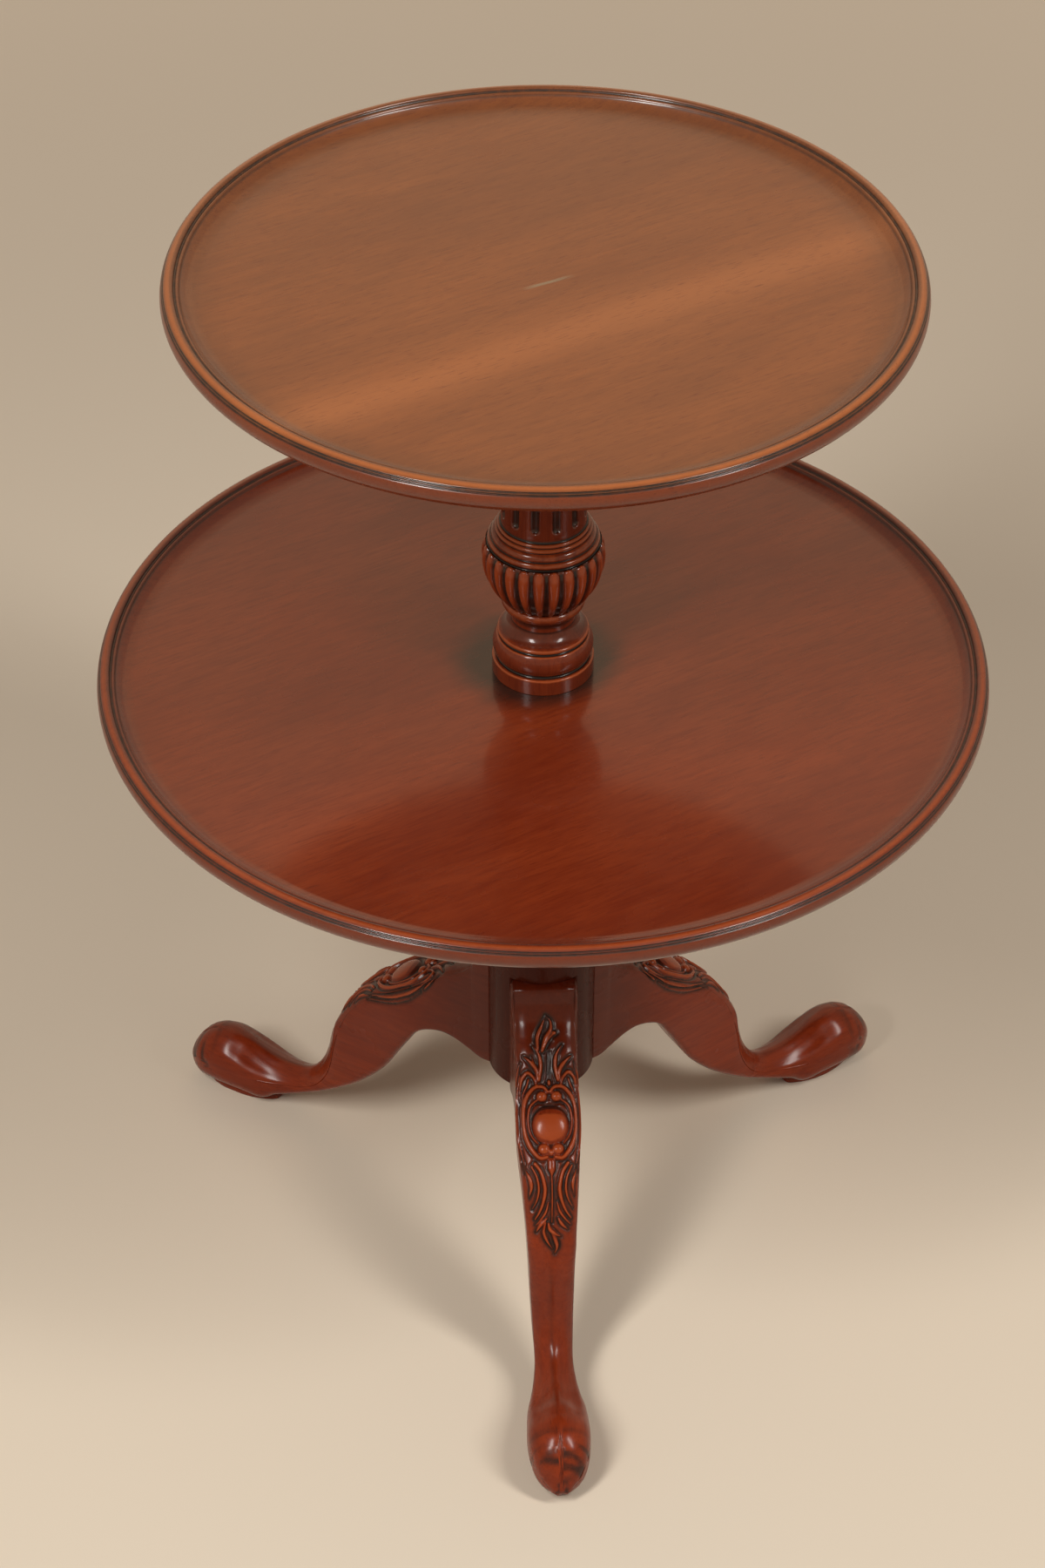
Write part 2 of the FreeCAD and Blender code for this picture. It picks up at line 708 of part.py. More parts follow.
def base_column():
    """Hub with three flats for the legs, and the plain turned column over it."""
    body = new_body("base_column", azimuth_of(0, S.leg_count))
    chamfer = S.hub_radius * HUB_CHAMFER_SHARE
    block_foot = LOWER_SEAT - S.block_height
    neck = block_foot - S.lower_cap_height
    head = LOWER_SEAT - S.end_gap
    insert_bore = S.insert_radius + S.glue_gap
    bolt_bore = S.bolt_radius + S.glue_gap
    bolt_end = LOWER_FIELD - S.bolt_down - S.end_gap
    insert_seat = head - S.insert_length
    brace_top = S.hub_bottom + S.brace_thickness
    recess = S.brace_disc + S.glue_gap
    corners = [
        (ZERO, brace_top, 0),
        (recess, brace_top, 0),
        (recess, S.hub_bottom, 0),
        (S.hub_radius - chamfer, S.hub_bottom, 0),
        (S.hub_radius, S.hub_bottom + chamfer, 0),
    ]
    corners += moulding(
        LOWER_SHAFT_SHARES, S.lower_shaft_radius, S.hub_radius, S.hub_top, neck
    )
    corners.append((S.lower_neck_radius, neck, LOWER_SHAFT_BULGE_SHARE))
    corners += moulding(CAP_SHARES, S.lower_neck_radius, S.lower_cap_radius, neck, block_foot)
    corners += [
        (S.lower_tenon_radius, block_foot, 0),
        (S.lower_tenon_radius, head, 0),
        (insert_bore, head, 0),
        (insert_bore, insert_seat, 0),
        (bolt_bore, insert_seat, 0),
        (bolt_bore, bolt_end, 0),
        (ZERO, bolt_end, 0),
    ]
    turned(body, "base_turning", corners)
    flat = side_cut(
        body,
        "leg_flat",
        rectangle(S.hub_flat, S.hub_radius + S.overrun, S.hub_bottom - S.overrun, S.leg_top),
        S.hub_radius,
    )
    slot = side_cut(
        body,
        "brace_slot",
        rectangle(ZERO, S.hub_flat + S.overrun, S.hub_bottom - S.overrun, brace_top),
        S.brace_half_width + S.glue_gap,
    )
    holes = [
        dowel_hole(body, "low_dowel_hole", S.dowel_low),
        dowel_hole(body, "high_dowel_hole", S.dowel_high),
    ]
    repeated(body, "seats_all_round", [flat, slot] + holes, S.leg_count)
    pilot = drilled_up(
        body,
        "brace_pilot",
        S.hub_screw_place * -1,
        S.screw_shank + S.glue_gap,
        S.hub_bottom - S.overrun,
        S.hub_bottom + S.brace_screw_length + S.end_gap,
    )
    repeated(body, "brace_pilots", [pilot], S.leg_count)


def dowel_hole(body, name, height):
    """Level round hole for a dowel, drilled through the flat between hub and leg."""
    low = S.hub_flat - S.dowel_in_hub - S.end_gap
    high = S.hub_flat + S.dowel_in_leg + S.end_gap
    corners = rectangle(low, high, height, height + S.dowel_radius + S.glue_gap)
    return spun(body, name, corners, [(low, height), (high, height)])


def leg(name, azimuth):
    """Cabriole leg with a pad foot and a thin sole, seated on a flat of the hub."""
    body = new_body(name, azimuth)
    sections = [leg_section(body, name, index) for index in range(len(LEG_SHARES))]
    loft = body.newObject("PartDesign::AdditiveLoft", name + "_loft")
    loft.Profile = sections[0]
    loft.Sections = sections[1:]
    loft.Ruled = False
    body.Tip = loft
    sole = new_sketch(body, name + "_sole_outline", "XY_Plane")
    heel, tip = leg_place(SOLE_HEEL_SHARE), leg_place(SOLE_TIP_SHARE)
    corners = [
        (between(heel, tip, along), S.sole_half_width * across, bulge)
        for along, across, bulge in SOLE_SHARES
    ]
    closed_outline(sole, corners)
    pad = body.newObject("PartDesign::Pad", name + "_sole")
    pad.Profile = sole
    bind(pad, "Length", S.sole_height)
    body.Tip = pad
    side_cut(
        body,
        name + "_top_trim",
        rectangle(S.hub_flat - S.overrun, S.leg_reach, S.leg_top, S.leg_top + S.overrun),
        S.leg_half_width + S.overrun,
    )
    dowel_hole(body, name + "_low_hole", S.dowel_low)
    dowel_hole(body, name + "_high_hole", S.dowel_high)
    side_cut(
        body,
        name + "_brace_slot",
        rectangle(
            S.hub_flat - S.overrun,
            S.brace_reach + S.glue_gap,
            S.hub_bottom - S.overrun,
            S.hub_bottom + S.brace_thickness,
        ),
        S.brace_half_width + S.glue_gap,
    )
    drilled_up(
        body,
        name + "_pilot",
        S.leg_screw_place,
        S.screw_shank + S.glue_gap,
        S.hub_bottom - S.overrun,
        S.hub_bottom + S.brace_screw_length + S.end_gap,
    )


def leg_section(body, name, index):
    """One rounded rectangle across the leg, on a plane tilted to the leg's run."""
    top_out, top_up, low_out, low_up, width_share, corner_share = LEG_SHARES[index]
    top = (leg_place(top_out), S.leg_top * top_up)
    low = (leg_place(low_out), S.leg_top * low_up)
    half = S.leg_half_width * width_share
    corner = half * corner_share
    height = distance(top[0] - low[0], top[1] - low[1])
    sketch = new_sketch(body, "%s_section_%d" % (name, index + 1), "YZ_Plane")
    sketch.AttachmentOffset = Placement(Vector(), Rotation(Vector(1, 0, 0), -1))
    bind(sketch, "AttachmentOffset.Base.y", low[1])
    bind(sketch, "AttachmentOffset.Base.z", low[0])
    bind(sketch, "AttachmentOffset.Rotation.Angle", angle_over(top[0] - low[0], top[1] - low[1]))
    corners = [
        (half - corner, ZERO, 0),
        (half, corner, QUARTER_BULGE_SHARE),
        (half, height - corner, 0),
        (half - corner, height, QUARTER_BULGE_SHARE),
        (corner - half, height, 0),
        (half * -1, height - corner, QUARTER_BULGE_SHARE),
        (half * -1, corner, 0),
        (corner - half, ZERO, QUARTER_BULGE_SHARE),
    ]
    closed_outline(sketch, corners)
    return sketch


def leg_place(share):
    """Distance from the axis at a share of the leg's reach, with the first on the hub's flat."""
    first = LEG_SHARES[0][0]
    return between(S.hub_flat, S.leg_reach, (share - first) / (1 - first))


def leg_dowels():
    """Six dowels, two between the hub and each leg."""
    body = new_body("leg_dowels", azimuth_of(0, S.leg_count))
    low = S.hub_flat - S.dowel_in_hub
    high = S.hub_flat + S.dowel_in_leg
    dowels = []
    for name, height in (("low_dowel", S.dowel_low), ("high_dowel", S.dowel_high)):
        corners = [
            (low, height, 0),
            (high, height, 0),
            (high, height + S.dowel_radius - S.dowel_chamfer, 0),
            (high - S.dowel_chamfer, height + S.dowel_radius, 0),
            (low + S.dowel_chamfer, height + S.dowel_radius, 0),
            (low, height + S.dowel_radius - S.dowel_chamfer, 0),
        ]
        dowels.append(spun(body, name, corners, [(low, height), (high, height)], cut=False))
    repeated(body, "dowels_all_round", dowels, S.leg_count)


def brace():
    """Three-armed iron plate let into the underside of the hub and the legs."""
    body = new_body("brace", azimuth_of(0, S.leg_count))
    low = S.hub_bottom
    high = S.hub_bottom + S.brace_thickness
    turned(body, "brace_middle", rectangle(ZERO, S.brace_disc, low, high))
    sketch = new_sketch(body, "brace_arm_outline", "XZ_Plane")
    closed_outline(sketch, rectangle(ZERO, S.brace_reach, low, high))
    arm = body.newObject("PartDesign::Pad", "brace_arm")
    arm.Profile = sketch
    arm.Midplane = True
    bind(arm, "Length", S.brace_half_width * 2)
    body.Tip = arm
    repeated(body, "brace_arms", [arm], S.leg_count)
    holes = [
        screw_hole(body, "leg_screw_hole", S.leg_screw_place, low, high + S.overrun),
        screw_hole(body, "hub_screw_hole", S.hub_screw_place * -1, low, high + S.overrun),
    ]
    repeated(body, "brace_holes", holes, S.leg_count)


def brace_screws():
    """Six wood screws that hold the iron plate, three in the hub and one in each leg."""
    body = new_body("brace_screws", azimuth_of(0, S.leg_count))
    length = S.brace_screw_length
    screws = [
        screw(body, "leg_screw", S.leg_screw_place, S.hub_bottom, length),
        screw(body, "hub_screw", S.hub_screw_place * -1, S.hub_bottom, length),
    ]
    repeated(body, "brace_screws_all_round", screws, S.leg_count)


def check_and_write():
    """Stops at any object that failed, then writes one file for each node."""
    doc.recompute()
    for thing in doc.Objects:
        if "Invalid" in thing.State or "Error" in thing.State:
            raise RuntimeError("%s: %s" % (thing.Label, thing.State))
    for body in nodes:
        if body.Shape.isNull() or not body.Shape.isValid():
            raise RuntimeError("%s has no valid shape" % body.Label)
    os.makedirs(PARTS_FOLDER, exist_ok=True)
    for body in nodes:
        body.Shape.exportStep(os.path.join(PARTS_FOLDER, body.Label + ".step"))
        print(body.Label, len(body.Shape.Solids), "solids", round(body.Shape.Volume), "mm3")


tray("upper_tray", S.upper_tray_radius, S.overall_height, ZERO)
block("upper_block", UPPER_SEAT, S.tenon_radius + S.glue_gap)
block_screws("upper_block_screws", UPPER_SEAT)
upper_column()
column_bolt()
tray("lower_tray", S.lower_tray_radius, S.lower_tray_height, S.bolt_radius + S.glue_gap)
block("lower_block", LOWER_SEAT, S.lower_tenon_radius + S.glue_gap)
block_screws("lower_block_screws", LOWER_SEAT)
bolt_insert()
base_column()
for number, side in enumerate(("front", "right", "left")):
    leg("leg_" + side, azimuth_of(number, S.leg_count))
leg_dowels()
brace()
brace_screws()
check_and_write()
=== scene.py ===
"""Two-tier mahogany dumbwaiter table: dished trays, fluted and gadrooned column, carved legs."""

import math

import bpy
import numpy as np
from mathutils import Matrix, Vector


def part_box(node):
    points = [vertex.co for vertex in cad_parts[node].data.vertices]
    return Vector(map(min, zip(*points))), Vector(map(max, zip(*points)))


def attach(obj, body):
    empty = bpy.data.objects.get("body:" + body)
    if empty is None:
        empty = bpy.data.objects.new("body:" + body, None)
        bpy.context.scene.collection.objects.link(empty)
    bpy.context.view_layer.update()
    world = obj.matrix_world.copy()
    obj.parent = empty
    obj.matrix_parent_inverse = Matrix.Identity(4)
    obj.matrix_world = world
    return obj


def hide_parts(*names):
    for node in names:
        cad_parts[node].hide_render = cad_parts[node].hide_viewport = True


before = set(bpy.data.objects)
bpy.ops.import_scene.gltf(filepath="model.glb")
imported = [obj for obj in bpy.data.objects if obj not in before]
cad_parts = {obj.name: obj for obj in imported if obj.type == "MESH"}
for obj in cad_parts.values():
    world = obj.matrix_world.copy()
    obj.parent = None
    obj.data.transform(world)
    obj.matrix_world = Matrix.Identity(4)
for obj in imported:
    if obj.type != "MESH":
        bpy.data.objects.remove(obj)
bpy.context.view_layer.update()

MM = 0.001

# Camera, in metres, with the directions of its right, down and forward axes.
CAMERA_PLACE = (-0.0990, -1.8419, 1.9017)
CAMERA_RIGHT = (0.998944, -0.045932, 0.001006)
CAMERA_DOWN = (-0.028502, -0.636762, -0.770533)
CAMERA_FORWARD = (0.036033, 0.769691, -0.637399)
CAMERA_LENS = 85.1
SENSOR_LONG_SIDE = 36.0

# Lamps: name, place, width and height in metres, power in watts and tint.
SOFT_WHITE = (1.0, 0.97, 0.93)
LAMPS = [
    ("lamp_left", (-1.15, -1.36, 2.25), (0.42, 1.25), 49.0, SOFT_WHITE),
    ("lamp_right", (1.43, -1.05, 2.25), (0.42, 1.25), 37.0, SOFT_WHITE),
    ("lamp_back", (0.2, 2.7, 2.9), (2.6, 2.6), 10.0, (1.0, 0.54, 0.27)),
]
LAMP_TARGET = (0.0, 0.0, 0.4)
FLOOR_SIDE = 60.0

# Trays, in millimetres.
BOARD = 19.0
DISH_DEPTH = 8.5
RIM_WIDTH = 16.0
EDGE_HEIGHT = 16.0
UNDER_BEVEL = 22.0
TRAY_GRAIN_ANGLE = math.radians(27.7)
# How dark the edge's staining is, and how dark each tray's cove is made: painted shade under the
# rim, with grime.
EDGE_STAIN = 0.28
UPPER_COVE_SHADE_AND_DIRT = 0.30
LOWER_COVE_SHADE_AND_DIRT = 0.12

# Upper column, heights above the field of the lower tray, in millimetres.
FOOT_RADIUS = 32.0
NECK_RADIUS = 20.3
NECK_HEIGHT = 39.92
COLLAR_RADIUS = 26.0
COLLAR_HEIGHT = 55.51
BULB_RADIUS = 38.2
BULB_HEIGHT = 87.45
BULB_FOOT_RADIUS = 24.6
BULB_TOP_RADIUS = 35.7
BULB_TOP = 97.43
RING_RADIUS = 35.0
SHAFT_FOOT_RADIUS = 26.4
SHAFT_FOOT = 116.02
SHAFT_TOP_RADIUS = 22.8
SHAFT_TOP = 214.07
CAP_RADIUS = 33.0
BLOCK_FOOT = 249.5
TENON_RADIUS = 12.5
FLUTES = 12
FLUTE_WIDTH = 5.6
FLUTE_DEPTH = 2.0
FLUTE_MARGIN = 2.5
LOBES = 24
LOBE_DEPTH = 2.6
LOBE_END = 3.8
LOBE_WIDTH_AT_FOOT = 0.46
LOBE_WIDTH_AT_TOP = 0.80
LOBE_CREST = 0.30
FRONT = math.radians(-90.0)

# Legs, in millimetres.
LEG_AZIMUTHS = {"front": 270.0, "right": 30.0, "left": 150.0}
LEG_REACH = 285.0
LEG_TOP = 233.0
LEG_HALF_WIDTH = 22.5
HUB_FLAT = 27.85
SOLE_HEIGHT = 4.5
SOLE_HEEL = 212.5
SOLE_TIP = 275.5
SOLE_HALF_WIDTH = 12.3
# How far each ring of a sole is drawn in, and its height.
SOLE_ROWS = [
    (0.9, 0.0), (0.3, 0.12), (0.0, 0.5), (0.0, 2.2), (0.0, SOLE_HEIGHT - 0.6),
    (0.25, SOLE_HEIGHT - 0.15), (0.7, SOLE_HEIGHT),
]
# How far the wood of each leg is shifted against the one before.
GRAIN_SHIFT = 150.0

# Fineness of the meshes: steps, softness of corners and reach of crests in millimetres, and
# numbers of columns.
OUTLINE_STEP = 0.1
CREST_REACH = 0.9
TRAY_STEP, TRAY_SOFTNESS, TRAY_COLUMNS = 0.36, 0.22, 360
FOOT_STEP, TURNED_SOFTNESS, FOOT_COLUMNS = 0.42, 0.18, 300
BULB_STEP, BULB_SOFTNESS, BULB_COLUMNS = 0.55, 0.2, 30 * LOBES
SHAFT_STEP, SHAFT_ROWS, SHAFT_COLUMNS = 0.45, 40, 26 * FLUTES
CAP_STEP, CAP_SOFTNESS = 0.6, 0.25
HUB_END_STEP, KNEE_STEP, FOOT_END_STEP = 1.2, 0.45, 1.4
# Rings under a tray and on its field, and the radius of the innermost one.
UNDERSIDE_RINGS, FIELD_RINGS, INNERMOST_RING = 26, 30, 1.0
# How far the mouldings' fine steps run onto the shaft at each of its ends.
SHAFT_END = 8.0
# Points on each stretch round a leg's section, and their crowding up its sides.
SECTION_POINTS = [80, 9, 34, 9, 12, 9, 34, 9]
SIDE_CROWDING = 2.4
# Share of the upper edge in the run that spaces the sections; the lower edge has the rest.
UPPER_EDGE_SHARE = 0.6
COURSE_SAMPLES = 72
STROKE_REACH = 8.0
FAR = 1e3

# Outlines as corners: share across, share up, and the bulge of the stretch that leads there,
# which is an arc's height over its chord, positive where the wood bulges out.
RIM_SHARES = [
    (0.562, 1.0, -0.05), (0.0, 0.5, 0.207), (0.02, 0.33, 0.029), (0.07, 0.225, 0.054),
    (0.118, 0.215, 0.0), (0.122, 0.18, -0.25), (0.096, 0.168, 0.0), (0.11, 0.138, 0.35),
    (0.158, 0.128, 0.0), (0.158, 0.095, -0.25), (0.138, 0.082, 0.0), (0.4, 0.0, 0.08),
    (0.495, 0.055, 0.12), (0.54, 0.15, -0.1), (0.59, 0.125, 0.0), (0.69, 0.145, 0.2),
    (0.72, 0.215, 0.0),
]
COVE_BULGE_SHARE = -0.10
COVE_REACH = 23.0
# Painted shade and grime in the rim's quirks and at the foot of its cove: from and to across, from
# and to down, and its depth.
RIM_SHADE_AND_DIRT = [
    (-0.01, 0.200, 0.078, 0.232, 0.95),
    (0.085, 0.125, 0.135, 0.170, 0.45),
    (0.500, 0.600, 0.060, 0.300, 0.92),
    (0.700, 0.760, 0.150, 0.300, 0.60),
]
FOOT_SHARES = [
    (1.0, 0.0, 0.0), (1.0, 0.255, 0.0), (0.93, 0.275, 0.2), (0.745, 0.28, 0.0),
    (0.745, 0.33, -0.2), (0.83, 0.34, 0.0), (0.73, 0.68, 0.155), (0.6, 0.685, 0.0),
    (0.6, 0.725, -0.2), (0.675, 0.73, 0.0), (0.66, 0.79, 0.25), (0.59, 0.798, 0.0),
    (0.0, 1.0, -0.14),
]
COLLAR_SHARES = [
    (0.0, 0.17, 0.0), (0.82, 0.62, -0.15), (0.84, 0.66, 0.0), (0.86, 0.975, 0.2),
]
BAND_SHARES = [
    (0.93, 0.0, 0.0), (0.93, 0.059, 0.0), (0.733, 0.253, 0.25), (0.686, 0.253, 0.0),
    (0.419, 0.511, 0.2), (0.349, 0.511, 0.0), (0.279, 0.661, 0.35), (0.186, 0.661, 0.0),
    (0.116, 0.796, 0.35), (0.035, 0.796, 0.0), (0.0, 1.0, -0.03),
]
CAP_SHARES = [
    (0.28, 0.03, 0.0), (0.28, 0.19, 0.45), (0.0, 0.22, 0.0), (0.02, 0.42, -0.05),
    (0.1, 0.44, 0.0), (0.88, 0.74, 0.16), (0.88, 0.78, 0.0), (1.0, 0.8, 0.0),
    (1.0, 1.0, 0.0),
]

# Sections of a leg from the hub to the toe: upper edge and lower edge as shares of
# LEG_REACH out and of LEG_TOP up, half width as a share of LEG_HALF_WIDTH, and corner
# radius as a share of that half width.
LEG_SHARES = [
    (0.0977, 1.0000, 0.0977, 0.5751, 1.000, 0.07), (0.1263, 1.0000, 0.1193, 0.5751, 1.000, 0.09),
    (0.1396, 0.9914, 0.1316, 0.5760, 0.987, 0.13), (0.1446, 0.9742, 0.1404, 0.5777, 0.973, 0.16),
    (0.1481, 0.9506, 0.1509, 0.5820, 0.960, 0.18), (0.1684, 0.9129, 0.1702, 0.5923, 0.951, 0.19),
    (0.1965, 0.8841, 0.1930, 0.6043, 0.942, 0.19), (0.2281, 0.8584, 0.2211, 0.6120, 0.933, 0.19),
    (0.2667, 0.8155, 0.2456, 0.6103, 0.933, 0.19), (0.3088, 0.7755, 0.2702, 0.6009, 0.933, 0.19),
    (0.3544, 0.7382, 0.2912, 0.5871, 0.933, 0.19), (0.4000, 0.6944, 0.3088, 0.5657, 0.920, 0.19),
    (0.4421, 0.6567, 0.3263, 0.5300, 0.889, 0.21), (0.4842, 0.6030, 0.3456, 0.4893, 0.836, 0.24),
    (0.5175, 0.5451, 0.3667, 0.4442, 0.787, 0.28), (0.5404, 0.4871, 0.3895, 0.3927, 0.738, 0.33),
    (0.5596, 0.4227, 0.4175, 0.3369, 0.702, 0.38), (0.5737, 0.3562, 0.4561, 0.2790, 0.676, 0.42),
    (0.5835, 0.3004, 0.4912, 0.2343, 0.658, 0.46), (0.5965, 0.2511, 0.5263, 0.1974, 0.636, 0.48),
    (0.6158, 0.2060, 0.5614, 0.1639, 0.618, 0.49), (0.6404, 0.1717, 0.5982, 0.1300, 0.604, 0.49),
    (0.6702, 0.1511, 0.6386, 0.1030, 0.604, 0.46), (0.7088, 0.1451, 0.6842, 0.0773, 0.649, 0.48),
    (0.7509, 0.1494, 0.7351, 0.0494, 0.747, 0.54), (0.7965, 0.1665, 0.7684, 0.0189, 0.853, 0.68),
    (0.8421, 0.1918, 0.8281, 0.0137, 0.911, 0.83), (0.8877, 0.2060, 0.8842, 0.0129, 0.920, 0.89),
    (0.9281, 0.1961, 0.9246, 0.0125, 0.853, 0.91), (0.9579, 0.1717, 0.9509, 0.0142, 0.733, 0.88),
    (0.9807, 0.1352, 0.9702, 0.0225, 0.556, 0.88), (0.9947, 0.0944, 0.9860, 0.0365, 0.333, 0.80),
    (1.0000, 0.0687, 0.9965, 0.0451, 0.178, 0.62),
]

# Outline of a sole: shares of the way from its heel to its tip and of its half width.
SOLE_SHARES = [
    (1.0, 0.0, 0.08), (0.54, 1.0, 0.12), (0.0, 0.42, 0.08), (0.0, -0.42, 0.06),
    (0.54, -1.0, 0.08),
]

# Carving on a knee, in millimetres: how far along the upper edge from the hub, and how far
# across from the middle, rolled out over the edge onto the side of the leg. Each stroke is
# a ridge: its course, half width, height, the shares of the width left at its two ends, and
# whether the other side mirrors it.
CARVING_MIDDLE = 0.9
CARVED_FROM = 27.0
CARVED_TO = 196.0
STROKES = [
    # Flame over the fan
    ([(53.0, -6.4), (44.5, -6.2), (37.5, -3.4), (30.6, -0.6)], 1.7, 1.4, 0.8, 0.15, False),
    ([(54.0, -3.6), (45.5, -1.0), (39.0, 2.8), (34.0, 2.6), (30.2, -0.4)],
     1.7, 1.7, 0.7, 0.15, False),
    ([(53.0, -2.6), (46.0, 0.8), (42.0, 4.6)], 1.2, 1.3, 0.6, 1.1, False),
    # Fan of acanthus strands and leaves
    ([(73.5, 6.3), (64.0, 4.8), (56.5, 5.8), (50.3, 9.6)], 1.5, 1.6, 0.9, 0.25, True),
    ([(73.5, 6.9), (66.0, 8.0), (61.2, 11.6), (57.6, 15.8)], 1.7, 1.6, 0.8, 0.3, True),
    ([(68.5, -6.8), (63.5, -8.8), (57.6, -10.6)], 0.9, 1.1, 0.8, 0.4, False),
    ([(76.5, 8.0), (71.0, 10.2), (68.2, 13.6), (71.4, 17.2), (78.5, 19.4), (88.0, 20.8)],
     1.5, 1.5, 0.7, 0.4, True),
    ([(72.6, 13.2), (77.0, 14.6), (82.0, 17.0), (89.0, 18.9)], 0.9, 1.1, 0.9, 0.4, True),
    ([(55.0, 1.2), (64.0, 0.9), (72.0, 0.4)], 0.7, 0.1, 0.6, 1.0, False),
    ([(74.4, 0.3), (76.0, 0.3)], 1.5, 1.3, 1.0, 1.0, False),
    # Outer and inner ring round the cabochon
    ([(81.2, 0.9), (78.3, 3.4), (77.8, 8.2), (82.0, 13.3), (90.0, 16.9), (98.0, 17.7),
      (107.0, 17.2), (115.0, 14.9), (121.6, 11.0), (125.2, 7.0), (124.6, 3.0)],
     1.8, 2.2, 0.8, 1.0, True),
    ([(86.6, 8.0), (90.2, 12.3), (97.5, 14.4), (105.5, 14.1), (111.6, 11.8), (115.4, 8.6)],
     1.05, 1.4, 0.8, 0.8, True),
    # Leaf bands that wrap round onto the sides
    ([(70.0, 19.6), (80.0, 23.2), (92.0, 25.6), (106.0, 25.4), (119.0, 22.4), (129.0, 18.4)],
     1.7, 1.4, 0.7, 0.5, True),
    ([(79.0, 27.0), (92.0, 29.6), (108.0, 29.0), (123.0, 25.2), (135.0, 20.6)],
     1.1, 1.0, 0.5, 0.4, True),
    ([(62.0, 19.0), (67.0, 22.4), (74.0, 25.6)], 1.3, 1.1, 0.5, 0.8, True),
    # Bands, crescents and stem of the lower leaf
    ([(130.4, 13.4), (138.0, 9.9), (145.2, 8.9), (153.0, 10.5), (158.8, 13.6)],
     1.0, 1.2, 0.8, 0.4, True),
    ([(128.8, 11.0), (133.4, 7.7), (139.5, 5.7), (146.0, 4.8), (153.0, 6.0), (160.0, 8.6),
      (165.6, 11.9)],
     1.5, 1.7, 0.9, 0.4, True),
    ([(154.0, 2.8), (161.0, 4.9), (165.6, 8.0), (169.6, 11.4)], 1.0, 1.1, 0.5, 0.5, True),
    ([(133.0, 17.6), (139.5, 14.4), (144.0, 13.8), (150.8, 15.6)], 1.6, 1.2, 0.4, 0.3, True),
    ([(127.6, 0.0), (131.5, 0.0), (137.0, -0.1)], 3.0, 1.1, 1.0, 0.2, False),
    ([(136.0, -0.1), (150.0, -0.2), (168.0, -0.9)], 0.7, 0.9, 0.9, 0.6, False),
    # Tail of the lower leaf
    ([(165.0, -4.2), (169.8, -8.8), (174.4, -11.4)], 1.5, 1.3, 0.5, 0.2, False),
    ([(168.0, -5.2), (174.0, -6.4), (180.5, -4.4), (187.0, -0.6)], 1.2, 1.2, 0.7, 0.2, False),
    ([(168.5, -3.2), (172.5, -2.2), (175.4, 0.8), (178.0, 4.8)], 1.6, 1.6, 0.5, 0.2, False),
    ([(174.0, -1.4), (180.0, 1.2), (185.5, 2.2), (190.0, 0.6)], 1.6, 1.1, 0.5, 0.2, False),
    ([(165.0, 3.4), (169.0, 5.6), (173.0, 9.4)], 1.3, 1.1, 0.5, 0.3, False),
]
# Round buttons: along, across, half length, half width, height, mirrored.
BUTTONS = [
    (84.3, 4.8, 3.7, 3.9, 2.6, True),
    (119.4, 4.5, 4.3, 4.5, 3.0, True),
    (121.6, 0.0, 2.6, 2.4, 2.4, False),
    (42.0, 4.8, 1.5, 1.7, 1.5, False),
]
# Cabochon with a flat upper end: along, across, half length, half width, height, upper end.
CABOCHON = (104.0, 0.2, 13.4, 12.4, 3.4, 91.4)
# Hollows: course, half width, depth.
GOUGES = [
    ([(49.0, 1.6), (60.0, 1.2), (74.0, 0.5)], 3.6, 1.0),
    ([(88.6, -9.0), (89.6, 0.2), (88.6, 9.4)], 1.6, 0.9),
]
# Sunk ground round the carving, and how far its darkening reaches.
GROUND_DEPTH = 0.9
GROUND_REACH = 2.2
GROUND_DARKENING_REACH = 4.6
# Upper corners of the knee rubbed down, the shin's ridge with a hollow on either side, where
# the ridge starts along the leg, and how far from the axis it ends and the toe starts.
CORNER_DROP = 2.0
CORNER_WIDTH = 5.0
RIDGE_RISE = 2.9
RIDGE_WIDTH = 6.0
SHOULDER_DROP = 1.8
SHOULDER_PLACE = 13.0
RIDGE_FROM = 186.0
RIDGE_TO = 268.0
TOE_FROM = 252.0


def held(value):
    """The value held between 0 and 1."""
    return np.clip(value, 0.0, 1.0)


def eased(share):
    """A share between 0 and 1 with a soft start and a soft end."""
    return share * share * (3.0 - 2.0 * share)


def bent(start, end, bulge, step):
    """Points from start to end along an arc that stands bulge chords off to the right."""
    start, end = np.asarray(start, float), np.asarray(end, float)
    chord = end - start
    count = max(2, int(math.ceil(np.hypot(*chord) / step)) + 1)
    along = np.linspace(0.0, 1.0, count)
    off = np.zeros(count)
    if bulge:
        half_turn = 2.0 * math.atan(2.0 * bulge)
        radius = 0.5 / math.sin(half_turn)
        turn = np.linspace(-half_turn, half_turn, count)
        along = radius * np.sin(turn) + 0.5
        off = radius * (np.cos(turn) - math.cos(half_turn))
    right = np.array([chord[1], -chord[0]])
    return start + along[:, None] * chord + off[:, None] * right


def outline(corners, step):
    """Evenly fine points along an outline of corners, each across, up and bulge."""
    runs = [np.asarray([corners[0][:2]], float)]
    for before, after in zip(corners[:-1], corners[1:]):
        runs.append(bent(before[:2], after[:2], after[2], step)[1:])
    return np.vstack(runs)


def moulding(shares, inner, outer, low, high):
    """Corners of an outline whose shares run between two places across and two up."""
    return [
        (inner + (outer - inner) * across, low + (high - low) * up, bulge)
        for across, up, bulge in shares
    ]


def run_along(path):
    """Distance along a line at each of its points."""
    return np.concatenate([[0.0], np.cumsum(np.hypot(*np.diff(path, axis=0).T))])


def spread_evenly(path, step):
    """The same line with its points an even step apart."""
    place = run_along(path)
    wanted = np.linspace(0.0, place[-1], max(3, int(round(place[-1] / step)) + 1))
    return np.stack([np.interp(wanted, place, path[:, k]) for k in range(2)], axis=1)


